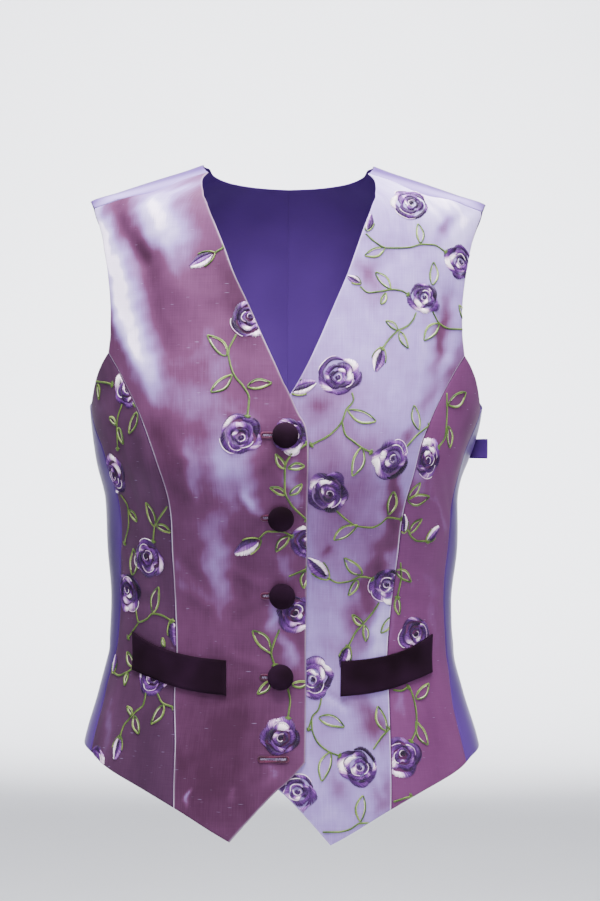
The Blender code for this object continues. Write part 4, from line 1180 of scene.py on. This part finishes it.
def cotton_velvet():
    """Velvet: a short upright pile that drinks light face on and glows a little along its edges."""
    hues = colours()
    made, shader = new_material("cotton_velvet", {
        "Sheen Weight": 0.28, "Sheen Roughness": 0.4, "Sheen Tint": opaque(hues.velvet_edge),
        "Specular IOR Level": 0.05, "Roughness": 0.95})
    # Grains in mm: where the nap is brushed, and the pile, drawn coarser than real pile so that it shows
    where = add_node(made, "TexCoord", outlet="Object")
    nap, pile = (add_node(made, "TexNoise", {"Vector": where, "Scale": 1 / (grain * MM), "Detail": 1.0})
                 for grain in (28, 0.7))
    fill_sockets(made, shader, {
        "Base Color": add_node(made, "ValToRGB", {"Fac": nap}, (
            (0.30, hues.velvet), (0.75, hues.velvet_brushed))),
        "Normal": add_node(made, "Bump", {"Height": pile, "Strength": 0.25, "Distance": 0.2 * MM})})
    return made


def embroidery_thread():
    """Machine embroidery thread: rayon, with a silky glint along each stitch."""
    made, shader = new_material("embroidery_thread", {
        "Roughness": 0.45, "Specular IOR Level": 0.25, "Sheen Weight": 0.05, "Sheen Roughness": 0.4})
    thread = add_node(made, "Attribute", attribute_name="thread", outlet="Color")
    # The strands are 0.5 mm wide, coarser than a real thread's filaments, so that they show.
    where = add_node(made, "TexCoord", outlet="Object")
    strands = add_node(made, "TexNoise", {"Vector": where, "Scale": 1 / (0.5 * MM), "Detail": 1.0})
    shade = add_node(made, "ValToRGB", {"Fac": strands}, ((0.30, grey(0.82)), (0.65, grey(1.0))))
    fill_sockets(made, shader, {"Base Color": add_node(
        made, "Mix", {0: 0.6, 6: thread, 7: shade}, outlet=2, data_type="RGBA", blend_type="MULTIPLY")})
    return made


def studio_paper():
    """Matt paper, clouded so faintly that it looks plain."""
    colour = tuple(colours().paper)
    made, shader = new_material("studio_paper", {"Roughness": 0.9, "Specular IOR Level": 0.2})
    where = add_node(made, "TexCoord", outlet="Object")
    clouds = add_node(made, "TexNoise", {"Vector": where, "Scale": 3.0, "Detail": 2.0})  # 333 mm across
    shade = add_node(made, "ValToRGB", {"Fac": clouds}, (
        (0.3, tuple(0.985 * c for c in colour)), (0.7, colour)))
    fill_sockets(made, shader, {"Base Color": shade})
    return made


def material(make):
    """The material named after the function that makes it, made the first time that it is asked for."""
    return bpy.data.materials.get(make.__name__) or make()


# ---- Settings ---------------------------------------------------------------------------------------------

SIZES = {  # each setting's value and what it is for
    "wall": (1.4 * MM, "Silk, interfacing and lining together"),
    "roll_depth": (0.55 * MM, "How far a panel's edge dips into its seam"),
    "roll_width": (1.8 * MM, "How far from its edge a panel starts to dip"),
    "seam_gap": (0.15 * MM, "How far each panel's wall stands back from its seam"),
    "rim_bulge": (0.22 * MM, "How far the middle of a panel's rim stands out"),
    "thread_pitch": (0.52 * MM, "Between neighbouring satin stitches"),
    "thread_width": (0.70 * MM, "Width of one satin stitch"),
    "rim_cord": (0.58 * MM, "Width of the pale cord along a petal's rim"),
    "stem_stitch": (2.8 * MM, "Length of one stitch along a stem or a leaf"),
    "welt_pillow": (0.6 * MM, "How much the velvet welts swell in the middle"),
}
COLOURS = {
    # The silk's colours are the stops of its painted light and shade. Plum and lavender are also its two
    # threads' colours; deep plum stands for painted shade, the palest ones for painted highlights, slate and
    # magenta for the side panels' painted shade and painted light, and the two edge colours for a painted
    # highlight on folded edges and painted shade in the seams.
    "plum_deep": ("#3d2236", "Silk turned away from the light"),
    "plum": ("#583452", "Silk of the right front"),
    "mauve": ("#735484", "Silk half turned to the light"),
    "lavender": ("#8973b0", "Silk turned to the light"),
    "lavender_pale": ("#b0a2d5", "Silk turned further"),
    "lilac_white": ("#efdfff", "Silk that shines on the shoulders"),
    "slate": ("#3a2b40", "Silk of the right side panel"),
    "magenta": ("#6c3a68", "Silk of the left side panel"),
    "rim_light": ("#e4d4f0", "Folded edge that catches the light"),
    "rim_dark": ("#2a1230", "Edge that sinks into its seam"),
    # The satin's deepest colour is painted shade under the arms and in its creases, and its shine tint is
    # also painted on as a highlight.
    "satin": ("#4e3179", "Back and lining"),
    "satin_dark": ("#462b6d", "Back and lining in its hollows"),
    "satin_deep": ("#170c30", "Back under the arms and in its creases"),
    "satin_light": ("#bda8ee", "Tint of the satin's shine"),
    "velvet": ("#0d040a", "Buttons and welts"),
    "velvet_brushed": ("#1e0d1e", "Velvet whose pile leans"),
    "velvet_edge": ("#5c3c58", "Tint of the pile seen along its edges"),
    "night": ("#1a0824", "Darkest rose thread"),
    "purple": ("#4a1d66", "Dark rose thread"),
    "violet": ("#7a3f98", "Middle rose thread"),
    "lilac": ("#cf9fd4", "Light rose thread"),
    "pale": ("#fff2fa", "Rose thread that is nearly white"),
    "leaf_pale": ("#ccd4a4", "Inner line of the leaves"),
    "leaf_light": ("#7c9046", "Sunny side of stems and leaves"),
    "leaf_mid": ("#50682c", "Middle green"),
    "leaf_dark": ("#2e451a", "Shaded side of stems and leaves"),
    "wine": ("#5c1c40", "Edge of the buttonholes"),
    "wine_dark": ("#2c0a20", "Shaded side of that edge"),
    "silver": ("#c3b9d4", "Middle of the buttonholes"),
    "orchid": ("#8f76a8", "Middle of the buttonholes"),
    "paper": ("#eeeff5", "Floor and backdrop"),
    "daylight": ("#e9ecf6", "Light from all round the studio"),
}
DISTANCES = {
    "distance": (2.4, "From the middle of the body to the camera"),
    "floor": (-0.95, "Height of the studio floor"),
}
POWERS = {
    "key": (41.0, "Power of the main light"),
    "fill": (7.0, "Power of the lights from both sides"),
    "top": (112.0, "Power of the light over the shoulders"),
    "ceiling": (85.0, "Power of the wide light over the whole floor"),
    "backdrop": (200.0, "Power of the lights on the backdrop"),
}


def float_settings(rows, **kind):
    """A property group's number settings from a table's rows."""
    return {name: bpy.props.FloatProperty(name=name.replace("_", " ").capitalize(), description=about,
                                          default=value, **kind)
            for name, (value, about) in rows.items()}


class WaistcoatSizes(bpy.types.PropertyGroup):
    """Sizes of the cloth and its stitches"""
    __annotations__ = float_settings(SIZES, min=0.0, unit="LENGTH", subtype="DISTANCE", precision=5)


class WaistcoatColours(bpy.types.PropertyGroup):
    """Colours of the cloth and its threads"""
    __annotations__ = {
        name: bpy.props.FloatVectorProperty(name=name.replace("_", " ").capitalize(), description=about,
                                            default=hexed(code), size=3, min=0.0, max=1.0, subtype="COLOR")
        for name, (code, about) in COLOURS.items()}


class WaistcoatStudio(bpy.types.PropertyGroup):
    """Camera and light"""
    __annotations__ = {**float_settings(DISTANCES, unit="LENGTH", precision=5),
                       **float_settings(POWERS, unit="POWER")}


# ---- Pieces -----------------------------------------------------------------------------------------------

Roll = namedtuple("Roll", "depth width")
GRIDS = {"front": front_grid, "side_front": side_front_grid, "back": back_grid}
UNDER_PANEL = "front_left"
# Painted light along the silk panels' edges: how wide it is, and how far it comes and goes along the edge.
PAINTED_RIM_WIDTH = 0.9 * MM
RIM_PALES = 0.25  # how far it comes and goes along the edge, and over how many millimetres
RIM_PALES_OVER = 13.0
BAND_ENDS = 0.5  # how strong a band of light is at its ends
# Strength of each edge's painted light: over 0 a painted highlight on a folded edge, under 0 painted shade in
# the seam.
PAINTED_RIMS_OF_PANEL = {  # along the panel's edge nearest centre front, and along its far edge
    "front_right": (0.25, 0.9), "front_left": (0.2, 0.9),
    "side_front_right": (-0.8, -0.9), "side_front_left": (-0.75, -0.7),
}
WELT_COLUMNS = 60
WELT_ROWS = 20
WELT_ROLL = Roll(0.9 * MM, 2.2 * MM)
WELT_STANDS_BACK = 0.3 * MM
WELT_BULGE = 0.4 * MM
TAB_ROWS = 13
TAB_COLUMNS_LYING = 16
TAB_COLUMNS_STANDING = 30
TAB_TURNS = 20  # degrees that its length takes up on its map
TAB_WALL = TAB_THICKNESS * 0.8
TAB_SWELL = 0.3 * MM
TAB_ROLL = Roll(0.5 * MM, 1.2 * MM)
TAB_BULGE = 0.3 * MM
BUTTON_SKIRT = 0.6  # in bevels, how far its velvet goes straight down
GATHERS = ((0.96, 0.8), (0.86, 0.4))  # under it: how far each ring draws in, and its drop in bevels
EDGE_MARGIN = 0.5 * MM  # between a panel's edge and its stitches
LAP_CLEAR = 0.2  # degrees past the covering edge at which the under front's stitches start
LAP_TOP = -195.0  # the lap covers the left front up to this height
BUTTON_CLEAR = 1.3  # degrees round a button's shank that stay free of stitches
HOLE_TURN = -1.85  # where the middle of each buttonhole lies
OPEN_HOLE_HEIGHT = -494.0  # the lowest buttonhole, worn open
OUTLINE_STEP = 3  # every third rim point is enough to draw an outline
WELT_OUTLINE = (12, 3)  # columns and rows


def grid_of(name):
    kind, side = name.rsplit("_", 1)
    return GRIDS[kind](SIDES[side])


def finish_piece(piece, node):
    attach(piece, BODY)
    if node:
        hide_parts(node)


def silk_shares(name, grid):
    """At each point of a panel, its painted light and shade: how far the silk is painted from shade towards
    white, how far it is painted in the side panels' shade or lit colour, and its painted light (1) or dark
    (-1) rim."""
    turn, height = grid[..., 0], grid[..., 1]
    tone = TONES[name]
    surface = place(turn, height, under=name == UNDER_PANEL)
    away = outward(turn, height)
    normal = unit(np.cross(np.gradient(surface, axis=1), np.gradient(surface, axis=0)))
    normal *= np.sign(np.sum(normal * away, axis=-1, keepdims=True))
    # Painted light and shade: the panel's own painted level, and its bands of painted highlight and shade.
    catch = tone.catch + lines_near(tone.bands, *wavered(turn, height), "share", end=BAND_ENDS)
    # Painted light and shade on the folds, from how far each turns towards the painted light side.
    catch += PAINTED_FOLD_LIGHT * ((normal - away) @ PAINTED_LIGHT_SIDE)
    # The edges' painted highlight and painted seam shade.
    rim = 0
    for edge, strength in zip((surface[:, :1], surface[:, -1:]), PAINTED_RIMS_OF_PANEL[name]):
        rim = rim + np.clip(1.5 - np.linalg.norm(surface - edge, axis=-1) / PAINTED_RIM_WIDTH, 0, 1) * strength
    rim *= 1 - RIM_PALES + RIM_PALES * np.sin(height / RIM_PALES_OVER)
    catch = np.clip(catch, 0.0, BRIGHTEST) / BRIGHTEST
    return {"catch": catch, "cool": np.full(turn.shape, tone.cool), "rim": rim}


def add_panels(kind, outside):
    """The right and the left panel of a kind."""
    values = sizes()
    for name in (kind + "_right", kind + "_left"):
        grid = grid_of(name)
        turn, height = grid[..., 0], grid[..., 1]

        def form(turn, height, lift):
            return place(turn, height, lift, under=name == UNDER_PANEL)

        roll = Roll(values.roll_depth, values.roll_width)
        made, spread = shell(name + "_cloth", grid, form, values.wall, roll, values.seam_gap,
                             values.rim_bulge, [outside, material(back_satin)])
        # Each panel's painted light and shade: the silk's from its tones, the satin backs' from their bands.
        shares = silk_shares(name, grid) if name in TONES else {
            "bloom": lines_near(SATIN_PAINTED_LIGHT, turn, height, "share", end=BAND_ENDS)}
        for share, of_points in shares.items():
            attribute = made.data.attributes.new(share, "FLOAT", "POINT")
            attribute.data.foreach_set("value", of_points.ravel()[spread].astype(np.float32))
        finish_piece(made, name)


class WAISTCOAT_OT_fronts(bpy.types.Operator):
    """Make both fronts in shot silk"""
    bl_idname = "waistcoat.fronts"
    bl_label = "Fronts"

    def execute(self, context):
        add_panels("front", material(shot_silk_dupion))
        return {"FINISHED"}


class WAISTCOAT_OT_side_fronts(bpy.types.Operator):
    """Make both side fronts in shot silk"""
    bl_idname = "waistcoat.side_fronts"
    bl_label = "Side fronts"

    def execute(self, context):
        add_panels("side_front", material(shot_silk_dupion))
        return {"FINISHED"}


class WAISTCOAT_OT_backs(bpy.types.Operator):
    """Make both backs in satin"""
    bl_idname = "waistcoat.backs"
    bl_label = "Backs"

    def execute(self, context):
        add_panels("back", material(back_satin))
        return {"FINISHED"}


def welt_grid(side, columns, rows):
    up_shares, across_shares = crowded(rows), crowded(columns)
    top, low = (at_shares(on_side(follow([row[k:k + 2] for row in WELT], columns), side), across_shares)
                for k in (0, 2))
    up = up_shares[:, None, None]
    return (1 - up) * low[None] + up * top[None]


class WAISTCOAT_OT_welts(bpy.types.Operator):
    """Make the velvet pocket welts"""
    bl_idname = "waistcoat.welts"
    bl_label = "Pocket welts"

    def execute(self, context):
        pillow = sizes().welt_pillow
        for name, side in SIDES.items():
            grid = welt_grid(side, WELT_COLUMNS, WELT_ROWS)
            up, across = (np.linspace(-1, 1, count) for count in grid.shape[:2])
            swell = pillow * (1 - up[:, None] ** 2) * (1 - across[None] ** 8)

            def form(turn, height, lift):
                return place(turn, height, lift + WELT_GAP + WELT_THICKNESS + swell - pillow / 2)

            made, _ = shell(f"pocket_welt_{name}_velvet", grid, form, WELT_THICKNESS, WELT_ROLL,
                            WELT_STANDS_BACK, WELT_BULGE, [material(cotton_velvet)])
            finish_piece(made, "pocket_welt_" + name)
        return {"FINISHED"}


def tab_edge(height):
    """One line along the tab, in the middle of its thickness, with its outward directions."""
    turns = np.linspace(TAB_TURN_START, TAB_TURN_LEAVES, TAB_COLUMNS_LYING + 1)
    lying = place(turns, np.full(len(turns), height), TAB_GAP + TAB_THICKNESS / 2)
    tip = np.array((*TAB_TIP, height)) * MM
    start = lying[-1]
    control = start + unit(start - lying[-2]) * np.linalg.norm(tip - start) * TAB_BEND
    standing = [(1 - t) ** 2 * start + 2 * t * (1 - t) * control + t * t * tip
                for t in np.linspace(0, 1, TAB_COLUMNS_STANDING + 1)[1:]]
    path = np.concatenate((lying, standing))
    return path, unit(np.cross((0, 0, 1), np.gradient(path, axis=0)))


class WAISTCOAT_OT_tab(bpy.types.Operator):
    """Make the short satin strap that stands out behind the left underarm"""
    bl_idname = "waistcoat.tab"
    bl_label = "Back tab"

    def execute(self, context):
        across = np.linspace(-1, 1, TAB_ROWS)
        edges = [tab_edge(TAB_HEIGHT + TAB_WIDTH / MM / 2 * share) for share in across]
        middle, away = (np.stack(lines) for lines in zip(*edges))
        grid = np.stack(np.meshgrid(np.linspace(0, TAB_TURNS, middle.shape[1]),
                                    np.linspace(0, TAB_WIDTH / MM, TAB_ROWS)), axis=-1)
        swell = TAB_SWELL * (1 - across[:, None] ** 4)

        def form(turn, height, lift):
            return middle + away * (lift + TAB_THICKNESS / 2 + swell)[..., None]

        made, _ = shell("back_tab_left_satin", grid, form, TAB_WALL, TAB_ROLL, 0.0, TAB_BULGE,
                        [material(back_satin)])
        finish_piece(made, "back_tab_left")
        return {"FINISHED"}


class WAISTCOAT_OT_buttons(bpy.types.Operator):
    """Make the velvet-covered buttons"""
    bl_idname = "waistcoat.buttons"
    bl_label = "Buttons"

    def execute(self, context):
        for number, row in enumerate(BUTTONS, 1):
            add_button(f"button_{number}", row)
        return {"FINISHED"}


def draw_in(share):
    bpy.ops.transform.resize(value=(share, share, 1.0))


def drop_edges(drop):
    bpy.ops.mesh.extrude_edges_move(TRANSFORM_OT_translate={"value": (0, 0, -drop)})


def add_button(node, row):
    """A dome of velvet drawn over a mould: a flattened half ball, a rim, and a gathered underside."""
    deselect_all()
    bpy.ops.mesh.primitive_uv_sphere_add(segments=48, ring_count=32, radius=BUTTON_RADIUS)
    made = bpy.context.object
    made.name = node + "_velvet"
    made.scale.z = BUTTON_DOME_HEIGHT / BUTTON_RADIUS
    bpy.ops.object.transform_apply(location=False, rotation=False, scale=True)
    bpy.ops.object.mode_set(mode="EDIT")
    bpy.ops.mesh.select_all(action="SELECT")
    bpy.ops.mesh.bisect(plane_co=(0, 0, 0), plane_no=(0, 0, 1), clear_inner=True)
    drop_edges(BUTTON_SKIRT * BUTTON_BEVEL)
    shank = BUTTON_SHANK_RADIUS / BUTTON_RADIUS
    for inset, drop in GATHERS:
        drop_edges(drop * BUTTON_BEVEL)
        draw_in(inset)
        shank /= inset
    drop_edges(0.0)
    draw_in(shank)
    drop_edges(BUTTON_SHANK_HEIGHT)
    bpy.ops.mesh.edge_face_add()
    bpy.ops.mesh.select_all(action="SELECT")
    bpy.ops.mesh.normals_make_consistent(inside=False)
    bpy.ops.object.mode_set(mode="OBJECT")
    bpy.ops.object.shade_smooth()
    lowest = min(vertex.co.z for vertex in made.data.vertices)
    turn, height = np.array(row.turn), np.array(row.height)
    here, normal = Vector(place(turn, height)), Vector(outward(turn, height))
    made.matrix_world = (Matrix.Translation(here + normal * (BUTTON_GAP - lowest))
                         @ normal.to_track_quat("Z", "Y").to_matrix().to_4x4())
    bpy.ops.object.transform_apply(location=True, rotation=True, scale=True)
    made.data.materials.append(material(cotton_velvet))
    finish_piece(made, node)


def outline_of(name):
    """A panel's edge as (turn, height), a little inside it, and on the left front past the lap."""
    grid = grid_of(name)
    rows, columns = grid.shape[:2]
    ring = ring_round(rows, columns)[::OUTLINE_STEP]
    outline = grid[ring[:, 0], ring[:, 1]]
    inner = grid[np.clip(ring[:, 0], 2, rows - 3), np.clip(ring[:, 1], 2, columns - 3)]
    outline = outline + unit((inner - outline) * (TURN_LENGTH, MM)) * EDGE_MARGIN / (TURN_LENGTH, MM)
    if name == UNDER_PANEL:
        heights = column(FRONT_EDGE, "height")
        lap = np.interp(outline[:, 1], heights, column(FRONT_EDGE, "over")) + LAP_CLEAR
        covered = (outline[:, 1] > heights[0]) & (outline[:, 1] < LAP_TOP)
        outline[:, 0] = np.where(covered, np.maximum(outline[:, 0], lap), outline[:, 0])
    return outline


def holes_on(name):
    """Outlines of what lies on a panel, where no stitches go."""
    grid = welt_grid(SIDES[name.rsplit("_", 1)[1]], *WELT_OUTLINE)
    ring = ring_round(*grid.shape[:2])
    holes = [grid[ring[:, 0], ring[:, 1]]]
    if name == "front_right":
        circle = bearing(np.arange(0, 360, 30)) * BUTTON_CLEAR * (1, TURN_LENGTH / MM)
        holes += [circle + row for row in BUTTONS]
    return holes


class WAISTCOAT_OT_embroidery(bpy.types.Operator):
    """Embroider roses, buds, leaves and stems on the fronts and side fronts"""
    bl_idname = "waistcoat.embroidery"
    bl_label = "Embroidery"

    def execute(self, context):
        for seed, (name, motifs) in enumerate(MOTIFS.items(), 11):
            rng = np.random.default_rng(seed)
            under = name == UNDER_PANEL
            work = Stitching(outline_of(name), holes_on(name), under, motifs.roses)
            for rows, add in ((motifs.stems, add_stem), (motifs.leaves, add_leaf), (motifs.buds, add_bud),
                              (motifs.roses, add_rose)):
                for row in rows:
                    add(work, row, under, rng)
            finish_piece(work.build(name + "_embroidery"), None)
        return {"FINISHED"}


class WAISTCOAT_OT_buttonholes(bpy.types.Operator):
    """Stitch the five buttonholes of the right front"""
    bl_idname = "waistcoat.buttonholes"
    bl_label = "Buttonholes"

    def execute(self, context):
        rng = np.random.default_rng(5)
        work = Stitching(outline_of("front_right"), [], False)
        for height in (*(row.height for row in BUTTONS), OPEN_HOLE_HEIGHT):
            add_buttonhole(work, HOLE_TURN, height, rng)
        finish_piece(work.build("buttonhole_stitching"), None)
        return {"FINISHED"}


# ---- Studio -----------------------------------------------------------------------------------------------

FRAME_HEIGHT = 0.793  # metres in the frame at the body's middle
AIM = Vector((0.0123, 0.0, -0.235))
ROLL = np.radians(0.5)
SENSOR = 36.0  # millimetres, along the frame's long side
PAPER_SIZE = 14.0  # metres
PAPER_WIDENED = 2.4  # so that neither side edge shows
WALL_STANDS_PAST = 4.0  # the edge behind this place is raised into the wall
WALL_HEIGHT = 5.0
PAPER_BEND = 3.0
PAPER_BEND_STEPS = 32
DAYLIGHT_STRENGTH = 0.35
Lamp = namedtuple("Lamp", "name place target size power spread")
LAMPS = (
    Lamp("key", (0.9, -2.3, 2.0), (0.0, 0.0, -0.2), 1.6, "key", 180),
    Lamp("fill_left", (-1.6, -2.4, 0.3), (0.0, 0.0, -0.25), 1.6, "fill", 120),
    Lamp("fill_right", (1.9, -2.0, -0.4), (0.0, 0.0, -0.25), 1.6, "fill", 120),
    Lamp("top", (0.0, -0.35, 1.0), (0.0, -0.05, 0.0), 0.9, "top", 180),
    Lamp("ceiling", (0.0, 0.0, 3.6), (0.0, 0.0, 0.0), 7.0, "ceiling", 180),
    Lamp("backdrop_left", (-1.6, 3.4, 1.2), (0.0, 6.6, 0.7), 0.8, "backdrop", 150),
    Lamp("backdrop_right", (1.6, 3.4, 1.2), (0.0, 6.6, 0.7), 0.8, "backdrop", 150),
)


class WAISTCOAT_OT_studio(bpy.types.Operator):
    """Set up the pale floor and backdrop, the soft lights and the camera"""
    bl_idname = "waistcoat.studio"
    bl_label = "Studio"

    def execute(self, context):
        studio = context.scene.waistcoat_studio
        deselect_all()
        bpy.ops.mesh.primitive_plane_add(size=PAPER_SIZE, location=(0, 0, studio.floor))
        paper = context.object
        paper.name = "studio_paper"
        bpy.ops.transform.resize(value=(PAPER_WIDENED, 1.0, 1.0))
        bpy.ops.object.transform_apply(location=True, scale=True)
        for polygon in paper.data.polygons:
            polygon.select = False
        for vertex in paper.data.vertices:
            vertex.select = vertex.co.y > WALL_STANDS_PAST
        for edge in paper.data.edges:
            edge.select = all(paper.data.vertices[v].select for v in edge.vertices)
        bpy.ops.object.mode_set(mode="EDIT")
        bpy.ops.mesh.extrude_region_move(TRANSFORM_OT_translate={"value": (0, 0, WALL_HEIGHT)})
        bpy.ops.object.mode_set(mode="OBJECT")
        bend = paper.modifiers.new("bend", "BEVEL")
        bend.width, bend.segments = PAPER_BEND, PAPER_BEND_STEPS
        bpy.ops.object.modifier_apply(modifier="bend")
        bpy.ops.object.shade_smooth()
        paper.data.materials.append(material(studio_paper))
        for lamp in LAMPS:
            bpy.ops.object.light_add(type="AREA", location=lamp.place)
            light = context.object
            light.name = "light_" + lamp.name
            light.data.energy = getattr(studio, lamp.power)
            light.data.size = lamp.size
            light.data.spread = np.radians(lamp.spread)
            heading = Vector(lamp.target) - Vector(lamp.place)
            light.rotation_euler = heading.to_track_quat("-Z", "Y").to_euler()
        world = context.scene.world or bpy.data.worlds.new("studio")
        context.scene.world = world
        world.use_nodes = True
        background = world.node_tree.nodes["Background"]
        background.inputs["Color"].default_value = opaque(colours().daylight)
        background.inputs["Strength"].default_value = DAYLIGHT_STRENGTH
        bpy.ops.object.camera_add(location=AIM - Vector((0, studio.distance, 0)),
                                  rotation=(np.radians(90), -ROLL, 0))
        camera = context.object
        camera.data.sensor_width = SENSOR
        camera.data.lens = studio.distance / FRAME_HEIGHT * SENSOR
        context.scene.camera = camera
        return {"FINISHED"}


class WAISTCOAT_PT_panel(bpy.types.Panel):
    """The waistcoat's pieces, in the order that they are made"""
    bl_label = "Waistcoat"
    bl_idname = "WAISTCOAT_PT_panel"
    bl_space_type = "VIEW_3D"
    bl_region_type = "UI"
    bl_category = "Waistcoat"

    def draw(self, context):
        for operator in OPERATORS:
            self.layout.operator(operator.bl_idname)
        for group in (context.scene.waistcoat_sizes, context.scene.waistcoat_colours,
                      context.scene.waistcoat_studio):
            box = self.layout.box()
            for name in group.bl_rna.properties.keys():
                if name not in ("rna_type", "name"):
                    box.prop(group, name)


OPERATORS = (
    WAISTCOAT_OT_studio,
    WAISTCOAT_OT_fronts,
    WAISTCOAT_OT_side_fronts,
    WAISTCOAT_OT_backs,
    WAISTCOAT_OT_welts,
    WAISTCOAT_OT_tab,
    WAISTCOAT_OT_buttons,
    WAISTCOAT_OT_buttonholes,
    WAISTCOAT_OT_embroidery,
)
SETTINGS = {"waistcoat_sizes": WaistcoatSizes, "waistcoat_colours": WaistcoatColours,
            "waistcoat_studio": WaistcoatStudio}


def register():
    for group in (*SETTINGS.values(), *OPERATORS, WAISTCOAT_PT_panel):
        bpy.utils.register_class(group)
    for name, group in SETTINGS.items():
        setattr(bpy.types.Scene, name, bpy.props.PointerProperty(type=group))


def unregister():
    for name in SETTINGS:
        delattr(bpy.types.Scene, name)
    for group in reversed((*SETTINGS.values(), *OPERATORS, WAISTCOAT_PT_panel)):
        bpy.utils.unregister_class(group)


def main():
    register()
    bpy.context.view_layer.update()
    bpy.ops.waistcoat.studio()
    bpy.ops.waistcoat.fronts()
    bpy.ops.waistcoat.side_fronts()
    bpy.ops.waistcoat.backs()
    bpy.ops.waistcoat.welts()
    bpy.ops.waistcoat.tab()
    bpy.ops.waistcoat.buttons()
    bpy.ops.waistcoat.buttonholes()
    bpy.ops.waistcoat.embroidery()


if __name__ == "__main__":
    main()
